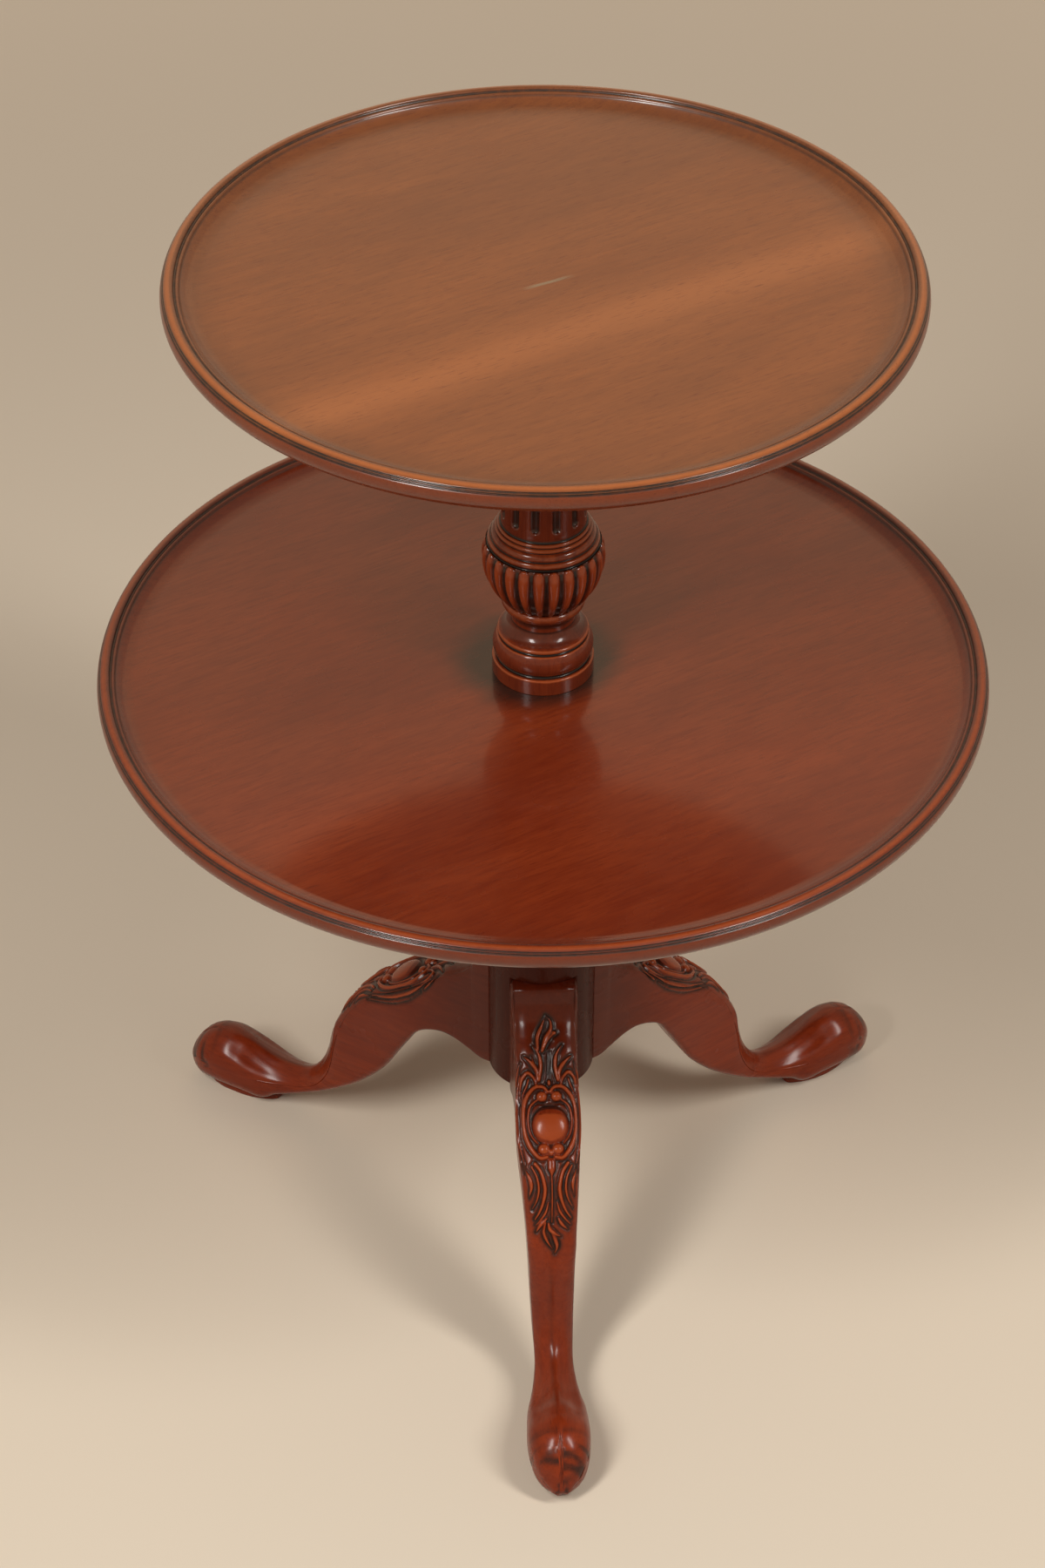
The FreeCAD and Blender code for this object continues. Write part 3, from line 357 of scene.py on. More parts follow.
def blurred(values, width, closed=False):
    """Gaussian average along the first axis, width being the deviation in samples."""
    reach = max(1, int(3 * width))
    weights = np.exp(-0.5 * (np.arange(-reach, reach + 1) / width) ** 2)
    weights /= weights.sum()
    pad = [(reach, reach)] + [(0, 0)] * (values.ndim - 1)
    wide = np.pad(values, pad, mode="wrap" if closed else "edge")
    total = np.zeros_like(values, dtype=float)
    for number, weight in enumerate(weights):
        total += weight * wide[number:number + len(values)]
    return total


def blurred_both(values, along, around):
    """Gaussian average of a grid along its first way and round its second."""
    return blurred(blurred(values, along).T, around, closed=True).T


def worn(corners, step, softness):
    """An outline in even steps, its corners softened as by polish and use; its ends stay."""
    even = spread_evenly(outline(corners, OUTLINE_STEP), step)
    soft = blurred(even, softness / step)
    soft[0], soft[-1] = even[0], even[-1]
    return soft


def side_of(path):
    """Unit directions to the right of a line, which is outwards on a turned outline."""
    run = np.gradient(path, axis=0)
    run /= np.maximum(np.hypot(run[:, 0], run[:, 1]), 1e-9)[:, None]
    return np.stack([run[:, 1], -run[:, 0]], axis=1)


def crest_along(path, step):
    """How far a line stands outside its own blurred course: crests above 0, hollows below."""
    return ((path - blurred(path, CREST_REACH / step)) * side_of(path)).sum(axis=1)


def grid_piece(name, points, fields):
    """Mesh over a grid of points in millimetres, closed round its second way and capped.

    A fan closes each end ring to its middle. The faces are turned outwards if the enclosed
    volume comes out negative.
    """
    rows, columns = points.shape[:2]
    count = rows * columns
    middles = [points[0].mean(axis=0), points[-1].mean(axis=0)]
    vertices = np.vstack([points.reshape(-1, 3), middles]) * MM
    row, column = np.meshgrid(np.arange(rows - 1), np.arange(columns), indexing="ij")
    here = row * columns + column
    after = row * columns + (column + 1) % columns
    quads = np.stack([here, after, after + columns, here + columns], axis=-1).reshape(-1, 4)
    ring = np.arange(columns)
    following = (ring + 1) % columns
    base = count - columns
    triangles = np.vstack(
        [
            np.stack([following, ring, np.full(columns, count)], axis=1),
            np.stack([base + ring, base + following, np.full(columns, count + 1)], axis=1),
        ]
    )
    a, b, c, d = (vertices[quads[:, k]] for k in range(4))
    e, f, g = (vertices[triangles[:, k]] for k in range(3))
    volume = (np.cross(a, b) * c).sum() + (np.cross(a, c) * d).sum()
    volume += (np.cross(e, f) * g).sum()
    if volume < 0:
        quads = quads[:, ::-1]
        triangles = triangles[:, ::-1]
    mesh = bpy.data.meshes.new(name)
    mesh.from_pydata(vertices.tolist(), [], quads.tolist() + triangles.tolist())
    mesh.polygons.foreach_set("use_smooth", np.ones(len(mesh.polygons), bool))
    for field, values in fields.items():
        values = np.asarray(values, np.float32).reshape(count, -1)
        ends = [values[:columns].mean(axis=0), values[-columns:].mean(axis=0)]
        kind, socket = ("FLOAT_VECTOR", "vector") if values.shape[1] == 3 else ("FLOAT", "value")
        layer = mesh.attributes.new(field, kind, "POINT")
        layer.data.foreach_set(socket, np.vstack([values, ends]).astype(np.float32).ravel())
    mesh.validate()
    piece = bpy.data.objects.new(name, mesh)
    bpy.context.scene.collection.objects.link(piece)
    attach(piece, "root")
    return piece


def turns(columns):
    """Angles of a turned grid's columns."""
    return np.linspace(0.0, 2.0 * math.pi, columns, endpoint=False)


def carried_round(values, columns):
    """One value for each row, the same in every column."""
    return np.repeat(values[:, None], columns, axis=1)


def turned_grid(path, columns, relief=None):
    """Points of a turned form: the outline's radius carried round, its height kept.

    relief is how far each point moves out along the outline's side direction.
    """
    out = carried_round(path, columns)
    if relief is not None:
        out = out + side_of(path)[:, None, :] * relief[..., None]
    radius, height = out[..., 0], out[..., 1]
    turn = turns(columns)
    return np.stack([radius * np.cos(turn), radius * np.sin(turn), height], axis=-1)


def rim_fields(radius, crest, path, cove_shade_and_dirt):
    """Wear on the rim's crest, painted shade and grime in its quirks and under its slope, and its
    red side.
    """
    across = (radius - path[:, 0]) / RIM_WIDTH
    down = (crest - path[:, 1]) / EDGE_HEIGHT
    above = path[:, 1] > crest - DISH_DEPTH - 0.01
    wear = np.where(above & (down < 0.12), held(1.0 - np.abs(across - 0.28) / 0.15) ** 0.5, 0.0)
    edge = (across < 0.76) & (path[:, 1] > crest - EDGE_HEIGHT - 1.0)
    stain_and_shade = np.where(edge, EDGE_STAIN, 0.0) * (1.0 - wear)
    # Painted shade, with grime, in the quirks and at the foot of the cove.
    for low, high, top, bottom, depth in RIM_SHADE_AND_DIRT:
        here = above & (across > low) & (across < high) & (down > top) & (down < bottom)
        stain_and_shade = np.where(here, depth, stain_and_shade)
    # A darker ring in the cove: painted shade under the rim, with grime.
    ring = cove_shade_and_dirt * held(1.0 - np.abs(across - 1.25) / 1.1)
    stain_and_shade = np.where(above & (across > 0.72), np.maximum(stain_and_shade, ring), stain_and_shade)
    side = np.where((across < 0.2) & (down > 0.2) | (down > 1.01), 1.0, 0.0)
    return {"crest": blurred(wear, 0.8), "stain_and_shade": blurred(stain_and_shade, 0.6), "side": blurred(side, 1.5)}


def tray_piece(node, cove_shade_and_dirt):
    """Dished tray: its moulded outline turned about the axis, with fine rings at the edge.

    The second argument sets how dark the cove is made: painted shade under the rim, with grime.
    """
    low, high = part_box(node)
    radius, crest = high[0] / MM, high[2] / MM
    underside, field = crest - BOARD, crest - DISH_DEPTH
    corners = [(radius - UNDER_BEVEL, underside, 0.0)]
    corners += moulding(RIM_SHARES, radius, radius - RIM_WIDTH, crest, crest - EDGE_HEIGHT)
    corners.append((radius - COVE_REACH, field, COVE_BULGE_SHARE))
    flat = np.linspace(INNERMOST_RING, radius - UNDER_BEVEL - 1.0, UNDERSIDE_RINGS)
    inner = np.linspace(radius - COVE_REACH - 1.0, INNERMOST_RING, FIELD_RINGS)
    path = np.vstack(
        [
            np.stack([flat, np.full(len(flat), underside)], axis=1),
            worn(corners, TRAY_STEP, TRAY_SOFTNESS),
            np.stack([inner, np.full(len(inner), field)], axis=1),
        ]
    )
    fields = {
        name: carried_round(values, TRAY_COLUMNS)
        for name, values in rim_fields(radius, crest, path, cove_shade_and_dirt).items()
    }
    points = turned_grid(path, TRAY_COLUMNS)
    piece = grid_piece(node + "_dished", points, fields)
    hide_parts(node)
    return piece


def upright_bulge(reach, rise):
    """Bulge of an arc that is upright at its wide end."""
    return math.tan(math.atan(reach / rise) / 2.0) / 2.0


def column_outline(base):
    """Corners of the upper column in four runs, from its foot at base up to its block."""
    neck, collar, wide = base + NECK_HEIGHT, base + COLLAR_HEIGHT, base + BULB_HEIGHT
    lobes, shaft_foot, shaft_top = base + BULB_TOP, base + SHAFT_FOOT, base + SHAFT_TOP
    foot = moulding(FOOT_SHARES, NECK_RADIUS, FOOT_RADIUS, base, neck)
    foot += moulding(COLLAR_SHARES, NECK_RADIUS, COLLAR_RADIUS, neck, collar)
    lower = upright_bulge(BULB_RADIUS - BULB_FOOT_RADIUS, BULB_HEIGHT - COLLAR_HEIGHT)
    upper = upright_bulge(BULB_RADIUS - BULB_TOP_RADIUS, BULB_TOP - BULB_HEIGHT)
    bulb = [
        (BULB_FOOT_RADIUS, collar, 0.0),
        (BULB_RADIUS, wide, lower),
        (BULB_TOP_RADIUS, lobes, upper),
    ]
    bands = moulding(BAND_SHARES, SHAFT_FOOT_RADIUS, RING_RADIUS, lobes, shaft_foot)
    cap = [(SHAFT_TOP_RADIUS, shaft_top, 0.0)]
    cap += moulding(CAP_SHARES, SHAFT_TOP_RADIUS, CAP_RADIUS, shaft_top, base + BLOCK_FOOT)
    return foot, bulb, bands, cap


def lobe_relief(path, columns, base):
    """Gadroons: round ridges on a sunk ground, narrow at the foot and round at the head.

    Returns how far the surface lies under the bulb, how dark its ground and its foot are made, and
    its rubbed ridges.
    """
    height = path[:, 1] - base
    over = height - COLLAR_HEIGHT
    across = (turns(columns) - FRONT) * LOBES / (2.0 * math.pi) + 0.5
    across = np.abs(2.0 * (across - np.round(across)))[None, :]
    rise = held(over / (BULB_HEIGHT - COLLAR_HEIGHT))
    width = LOBE_WIDTH_AT_FOOT + (LOBE_WIDTH_AT_TOP - LOBE_WIDTH_AT_FOOT) * rise ** 0.8
    up = held((height - (BULB_TOP - LOBE_END)) / LOBE_END)
    width = (width * np.sqrt(np.maximum(1.0 - up ** 2, 0.0)))[:, None]
    inside = held(across / np.maximum(width, 1e-3))
    fall = 1.0 - np.sqrt(1.0 - 0.98 * inside ** 2)
    foot = np.clip(over / 8.0, 0.35, 1.0)[:, None]
    dirt_and_shade = np.maximum(held((inside - 0.84) / 0.16), 0.7 * held(1.0 - over / 14.0)[:, None])
    dirt_and_shade *= 1.0 - 0.45 * held(height - BULB_TOP + 2.6)[:, None]
    rubbed = (1.0 - inside ** 1.5) * held(over / 12.0)[:, None]
    return -LOBE_DEPTH * foot * np.maximum(fall, (1.0 - width) ** 4), dirt_and_shade, rubbed


def flute_relief(path, columns, base):
    """Flutes: round-bottomed channels with round ends, halfway between the lands."""
    height = path[:, 1] - base
    low = SHAFT_FOOT + FLUTE_MARGIN + FLUTE_WIDTH / 2.0
    high = SHAFT_TOP - FLUTE_MARGIN - FLUTE_WIDTH / 2.0
    pitch = 2.0 * math.pi / FLUTES
    side = (turns(columns) - FRONT) / pitch + 0.5
    across = path[:, :1] * ((side - np.round(side)) * pitch)[None, :]
    past = np.maximum(low - height, 0.0) + np.maximum(height - high, 0.0)
    distance = np.hypot(across, past[:, None]) / (FLUTE_WIDTH / 2.0)
    return -FLUTE_DEPTH * np.sqrt(np.maximum(1.0 - distance ** 2, 0.0))


def shaft_path(bulb_end, bands, cap, base, top):
    """Outline from the bands over the shaft to the tenon's top, with its crests."""
    corners = [bulb_end] + bands + [(SHAFT_FOOT_RADIUS, base + SHAFT_FOOT + SHAFT_END, 0.0)]
    lower = worn(corners, SHAFT_STEP, TURNED_SOFTNESS)
    lower_crest = crest_along(lower, SHAFT_STEP)
    above = lower[:, 1] > base + SHAFT_FOOT
    share = (lower[:, 1] - base - SHAFT_FOOT) / (SHAFT_TOP - SHAFT_FOOT)
    taper = SHAFT_FOOT_RADIUS + (SHAFT_TOP_RADIUS - SHAFT_FOOT_RADIUS) * share
    lower[above, 0] = taper[above]
    end = np.array([SHAFT_TOP_RADIUS + 0.3, base + SHAFT_TOP - SHAFT_END])
    share = np.linspace(0.0, 1.0, SHAFT_ROWS + 2)[1:-1, None]
    middle = lower[-1] + (end - lower[-1]) * share
    corners = [(end[0], end[1], 0.0)] + cap
    corners += [(TENON_RADIUS, base + BLOCK_FOOT, 0.0), (TENON_RADIUS, top, 0.0)]
    upper = worn(corners, CAP_STEP, CAP_SOFTNESS)
    crest = np.concatenate([lower_crest, np.zeros(SHAFT_ROWS), crest_along(upper, CAP_STEP)])
    return np.vstack([lower, middle, upper]), crest


def column_pieces():
    """Upper column in three turned grids that meet in the grooves beside the bulb."""
    low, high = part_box("upper_column")
    base, top = low[2] / MM, high[2] / MM
    foot, bulb, bands, cap = column_outline(base)

    foot_path = worn(foot + [bulb[0]], FOOT_STEP, TURNED_SOFTNESS)
    foot_fields = {"crest": carried_round(crest_along(foot_path, FOOT_STEP), FOOT_COLUMNS)}

    bulb_path = worn(bulb, BULB_STEP, BULB_SOFTNESS)
    lobes, dirt_and_shade, rubbed = lobe_relief(bulb_path, BULB_COLUMNS, base)
    lobes = blurred_both(lobes, 0.6, 0.6)
    bulb_fields = {"crest": LOBE_CREST * rubbed, "stain_and_shade": blurred_both(dirt_and_shade, 0.8, 0.8)}

    path, crest = shaft_path(bulb[-1], bands, cap, base, top)
    flutes = flute_relief(path, SHAFT_COLUMNS, base)
    sunk = np.clip(-flutes / FLUTE_DEPTH * 1.8 - 0.25, 0.0, 0.9)
    shaft_fields = {"crest": carried_round(crest, SHAFT_COLUMNS), "stain_and_shade": sunk}

    pieces = []
    for name, line, columns, relief, fields in (
        ("column_foot", foot_path, FOOT_COLUMNS, None, foot_fields),
        ("column_bulb", bulb_path, BULB_COLUMNS, lobes, bulb_fields),
        ("column_shaft", path, SHAFT_COLUMNS, flutes, shaft_fields),
    ):
        points = turned_grid(line, columns, relief)
        pieces.append(grid_piece(name, points, fields))
    for piece in pieces:
        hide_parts("upper_column")
    return pieces


def smooth_through(places, values, wanted):
    """Cubic curve through values at places, with the slope at each from its neighbours."""
    slope = np.gradient(values, places, axis=0)
    index = np.clip(np.searchsorted(places, wanted, side="right") - 1, 0, len(places) - 2)
    width = places[index + 1] - places[index]
    t = ((wanted - places[index]) / width)[:, None]
    p, q = values[index], values[index + 1]
    m, n = slope[index] * width[:, None], slope[index + 1] * width[:, None]
    return (
        (2 * t ** 3 - 3 * t ** 2 + 1) * p
        + (t ** 3 - 2 * t ** 2 + t) * m
        + (-2 * t ** 3 + 3 * t ** 2) * q
        + (t ** 3 - t ** 2) * n
    )


def leg_stations():
    """Upper edge, lower edge, half width and corner radius at each section, in millimetres."""
    stations = np.array(LEG_SHARES)
    first = stations[0, 0]
    for column in (0, 2):
        past_hub = stations[:, column] - first
        stations[:, column] = HUB_FLAT + (LEG_REACH - HUB_FLAT) * past_hub / (1.0 - first)
        stations[:, column + 1] *= LEG_TOP
    stations[:, 4] *= LEG_HALF_WIDTH
    stations[:, 5] *= stations[:, 4]
    return stations


def section_course():
    """Course round a rounded rectangle: stretch number and share along it at each point.

    The course starts at the left end of the upper side and runs right, down, left and up,
    with a corner after each side. On the sides the points crowd towards the upper edge.
    """
    number = np.repeat(np.arange(len(SECTION_POINTS)), SECTION_POINTS)
    share = np.concatenate([np.arange(count) / count for count in SECTION_POINTS])
    share = np.where(number == 2, share ** SIDE_CROWDING, share)
    return number, np.where(number == 6, 1.0 - (1.0 - share) ** SIDE_CROWDING, share)


def section_points(half, corner, height):
    """Across and up on every section: straight sides joined by quarter circles.

    Also returns the distance across as unrolled over the upper corners from the middle. The
    left side and its corners mirror the right ones.
    """
    number, course_share = section_course()
    half, corner, height = half[:, None], corner[:, None], height[:, None]
    flat = half - corner
    tall = height - 2.0 * corner
    quarter = corner * math.pi / 2.0
    across, up, unrolled = (np.zeros((len(half), len(number))) for _ in range(3))
    for stretch in range(len(SECTION_POINTS)):
        here = number == stretch
        side = -1.0 if stretch > 4 else 1.0
        share = course_share[here][None, :]
        share = 1.0 - share if stretch > 4 else share
        turn = share * math.pi / 2.0
        if stretch == 0:
            x, y = -flat + 2.0 * flat * share, height
            v = x
        elif stretch in (1, 7):
            x, y = flat + corner * np.sin(turn), height - corner + corner * np.cos(turn)
            v = flat + corner * turn
        elif stretch in (2, 6):
            x, y = half, height - corner - tall * share
            v = flat + quarter + tall * share
        elif stretch in (3, 5):
            x, y = flat + corner * np.cos(turn), corner - corner * np.sin(turn)
            v = flat + quarter + tall
        else:
            x, y, v = flat - 2.0 * flat * share, 0.0, FAR
        across[:, here], up[:, here], unrolled[:, here] = side * x, y, side * v
    return across, up, unrolled


def leg_grid():
    """Leg surface in its own frame, x out from the axis and y across, as a grid of points.

    Each station's section is a rounded rectangle on the line from the lower to the upper
    edge, and the stations are joined by cubic curves over the runs of the two edges. Also
    returns how far along the upper edge each section is, and the distances across unrolled.
    """
    stations = leg_stations()
    top_place, low_place = run_along(stations[:, 0:2]), run_along(stations[:, 2:4])
    place = UPPER_EDGE_SHARE * top_place + (1.0 - UPPER_EDGE_SHARE) * low_place
    fine_low, fine_high = np.interp([CARVED_FROM, CARVED_TO], top_place, place)
    wanted = np.concatenate(
        [
            np.arange(0.0, fine_low, HUB_END_STEP),
            np.arange(fine_low, fine_high, KNEE_STEP),
            np.arange(fine_high, place[-1], FOOT_END_STEP),
            [place[-1]],
        ]
    )
    values = smooth_through(place, stations, wanted)
    top, low, half = values[:, 0:2], values[:, 2:4], values[:, 4]
    top[:, 1] = np.minimum(top[:, 1], LEG_TOP)
    lift = top - low
    height = np.hypot(lift[:, 0], lift[:, 1])
    lift = lift / height[:, None]
    corner = np.minimum(values[:, 5], 0.97 * np.minimum(half, height / 2.0))
    across, up, unrolled = section_points(half, corner, height)
    x, z = (low[:, k][:, None] + lift[:, k][:, None] * up for k in range(2))
    return np.stack([x, across, z], axis=-1), np.interp(wanted, place, top_place), unrolled


def grid_normals(points):
    """Unit normals of a grid closed round its second way, pointing out of the wood."""
    along = np.gradient(points, axis=0)
    around = (np.roll(points, -1, axis=1) - np.roll(points, 1, axis=1)) / 2.0
    normal = np.cross(around, along)
    normal /= np.maximum(np.linalg.norm(normal, axis=-1, keepdims=True), 1e-9)
    centre = points.mean(axis=1, keepdims=True)
    return -normal if ((points - centre) * normal).sum() < 0 else normal


def near_course(along, across, course, reach):
    """Distance to the smooth curve through a course and the share of it at the nearest point.

    Points farther off than reach are left at FAR.
    """
    course = np.asarray(course, float)
    run = run_along(course)
    wanted = np.linspace(0.0, run[-1], COURSE_SAMPLES)
    samples, shares = smooth_through(run, course, wanted), wanted / run[-1]
    low, high = samples.min(axis=0) - reach, samples.max(axis=0) + reach
    inside = (along > low[0]) & (along < high[0]) & (across > low[1]) & (across < high[1])
    distance = np.full(along.shape, FAR)
    share = np.zeros(along.shape)
    gap = np.hypot(
        along[inside][:, None] - samples[:, 0], across[inside][:, None] - samples[:, 1]
    )
    nearest = gap.argmin(axis=1)
    distance[inside] = gap[np.arange(len(nearest)), nearest]
    share[inside] = shares[nearest]
    return distance, share


def dome_over(radius, top, power):
    """Height of a round button over the leg at shares of its radius."""
    return (top + GROUND_DEPTH) * held(1.0 - radius ** power) ** 0.5


def knee_relief(along, across):
    """Height of the carving over the leg, how dark its ground is made, and what is rubbed bare,
    with painted shade on the cabochon's upper part.

    The highest ridge or button counts. Round them the ground is sunk over a short reach.
    """
    polish = np.zeros(along.shape)
    across = across - CARVING_MIDDLE
    height = np.full(along.shape, -10.0)
    clear = np.full(along.shape, FAR)
    for course, half_width, top, first, last, mirrored in STROKES:
        for side in (1.0, -1.0) if mirrored else (1.0,):
            placed = [(a, side * b) for a, b in course]
            distance, share = near_course(along, across, placed, STROKE_REACH)
            taper = np.minimum(
                first + (1.0 - first) * np.minimum(share / 0.35, 1.0),
                last + (1.0 - last) * np.minimum((1.0 - share) / 0.45, 1.0),
            )
            width = half_width * taper
            inside = held(1.0 - (distance / width) ** 2)
            ridge = (top * (0.35 + 0.65 * taper) + GROUND_DEPTH) * inside ** 0.55 - GROUND_DEPTH
            height = np.where(distance < width, np.maximum(height, ridge), height)
            clear = np.minimum(clear, distance - width)
    for place, off, half_length, half_width, top, mirrored in BUTTONS:
        for side in (1.0, -1.0) if mirrored else (1.0,):
            radius = np.hypot((along - place) / half_length, (across - side * off) / half_width)
            dome = dome_over(radius, top, 2.2) - GROUND_DEPTH
            height = np.where(radius < 1.0, np.maximum(height, dome), height)
            clear = np.minimum(clear, (radius - 1.0) * half_length)
            polish = np.maximum(polish, 0.6 * held(2.0 - 2.2 * radius))
    place, off, half_length, half_width, top, upper_end = CABOCHON
    radius = np.hypot((along - place) / half_length, (across - off) / half_width)
    dome = dome_over(radius, top, 2.3) * held((along - upper_end) / 1.6) ** 0.5 - GROUND_DEPTH
    height = np.where(radius < 1.0, np.maximum(height, dome), height)
    clear = np.minimum(clear, (radius - 1.0) * half_length)
    rubbed = held(2.6 - 2.8 * radius) * held((along - upper_end) / 10.0)
    # Painted shade on the cabochon's upper part, under its flat end; lower down its dome is rubbed
    # lighter.
    shaded = held(1.0 - (along - upper_end) / 6.0)
    polish = np.where(radius < 1.0, 1.1 * rubbed - 1.9 * shaded, polish)
    relief = np.maximum(height, -GROUND_DEPTH * eased(held(1.0 - clear / GROUND_REACH)))
    for course, half_width, depth in GOUGES:
        distance, _ = near_course(along, across, course, half_width + 1.0)
        hollow = held(1.0 - (distance / half_width) ** 2)
        relief = np.where(relief < 0.4, relief - depth * hollow, relief)
    return relief, eased(held(1.0 - clear / GROUND_DARKENING_REACH)), polish


def leg_relief(points, top_run, unrolled):
    """Relief of the whole leg, its crests, and its staining with painted shade.

    The knee has its carving and soft upper corners, the shin a ridge, and the toe knocks.
    """
    along = carried_round(top_run, points.shape[1])
    relief, shade, polish = knee_relief(along, unrolled)
    relief = blurred_both(relief, 0.7, 0.7)
    foot = held((along - RIDGE_FROM) / 24.0) * held((RIDGE_TO - points[..., 0]) / 40.0)
    foot = eased(foot)
    half = np.abs(points[..., 1]).max(axis=1, keepdims=True)
    off = np.abs(unrolled)
    corner = np.exp(-((off - half + 0.9) / CORNER_WIDTH) ** 2)
    corner *= CORNER_DROP * held((RIDGE_FROM - along) / 30.0)
    roof = RIDGE_RISE * np.exp(-(unrolled / RIDGE_WIDTH) ** 2)
    roof -= SHOULDER_DROP * np.exp(-((off - SHOULDER_PLACE) / RIDGE_WIDTH) ** 2)
    crest = relief - blurred_both(relief, 5.0, 5.0) + polish
    stain_and_shade = shade * held((0.55 - relief) / 0.9)
    toe = held((points[..., 0] - TOE_FROM) / 16.0)
    knocks = np.random.default_rng(7).random(points.shape[:2])
    knocks = blurred_both(knocks, 1.2, 3.0)
    knocks = held((knocks - knocks.mean()) / knocks.std() - 0.3)
    stain_and_shade = np.maximum(stain_and_shade, 0.85 * toe * knocks)
    # Painted shade in a soft line along the shin's ridge, a little to one side of it.
    stain_and_shade = np.maximum(stain_and_shade, 0.30 * foot * np.exp(-((unrolled + 1.2) / 2.0) ** 2))
    return relief + foot * roof - corner - 0.25 * toe * knocks, crest, stain_and_shade


def leg_pieces():
    """Three legs from one carved surface, each turned to its own azimuth, and their soles."""
    points, top_run, unrolled = leg_grid()
    relief, crest, stain_and_shade = leg_relief(points, top_run, unrolled)
    length = carried_round(top_run, points.shape[1])
    points = points + grid_normals(points) * relief[..., None]
    sole = sole_grid()
    pieces = []
    for number, (name, azimuth) in enumerate(LEG_AZIMUTHS.items()):
        shift = GRAIN_SHIFT * number
        grain = np.stack([length, points[..., 1], points[..., 2] + shift], axis=-1) * MM
        fields = {"crest": crest, "stain_and_shade": stain_and_shade, "grain": grain}
        turned = azimuth_turn(points, azimuth)
        leg = grid_piece("leg_%s_carved" % name, turned, fields)
        fields = {"grain": (sole + (0.0, 0.0, shift)) * MM}
        turned = azimuth_turn(sole, azimuth)
        pad = grid_piece("sole_" + name, turned, fields)
        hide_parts("leg_" + name)
        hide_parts("leg_" + name)
        pieces += [leg, pad]
    return pieces


def azimuth_turn(points, azimuth):
    """The points turned about the upright axis from +X to an azimuth in degrees."""
    cosine, sine = math.cos(math.radians(azimuth)), math.sin(math.radians(azimuth))
    x, y, z = points[..., 0], points[..., 1], points[..., 2]
    return np.stack([x * cosine - y * sine, x * sine + y * cosine, z], axis=-1)


def sole_grid():
    """Thin sole under a foot: its outline, drawn in at the floor and at its upper edge."""
    corners = moulding(SOLE_SHARES, SOLE_HEEL, SOLE_TIP, 0.0, SOLE_HALF_WIDTH)
    ring = spread_evenly(outline(corners + [corners[0]], 0.2), 1.2)[:-1]
    ring = blurred(ring, 1.6, closed=True)
    side = blurred(side_of(np.vstack([ring[-1:], ring, ring[:1]]))[1:-1], 1.0, closed=True)
    grid = []
    for inset, height in SOLE_ROWS:
        heights = np.full((len(ring), 1), height)
        grid.append(np.concatenate([ring - side * inset, heights], axis=1))
    return np.stack(grid)


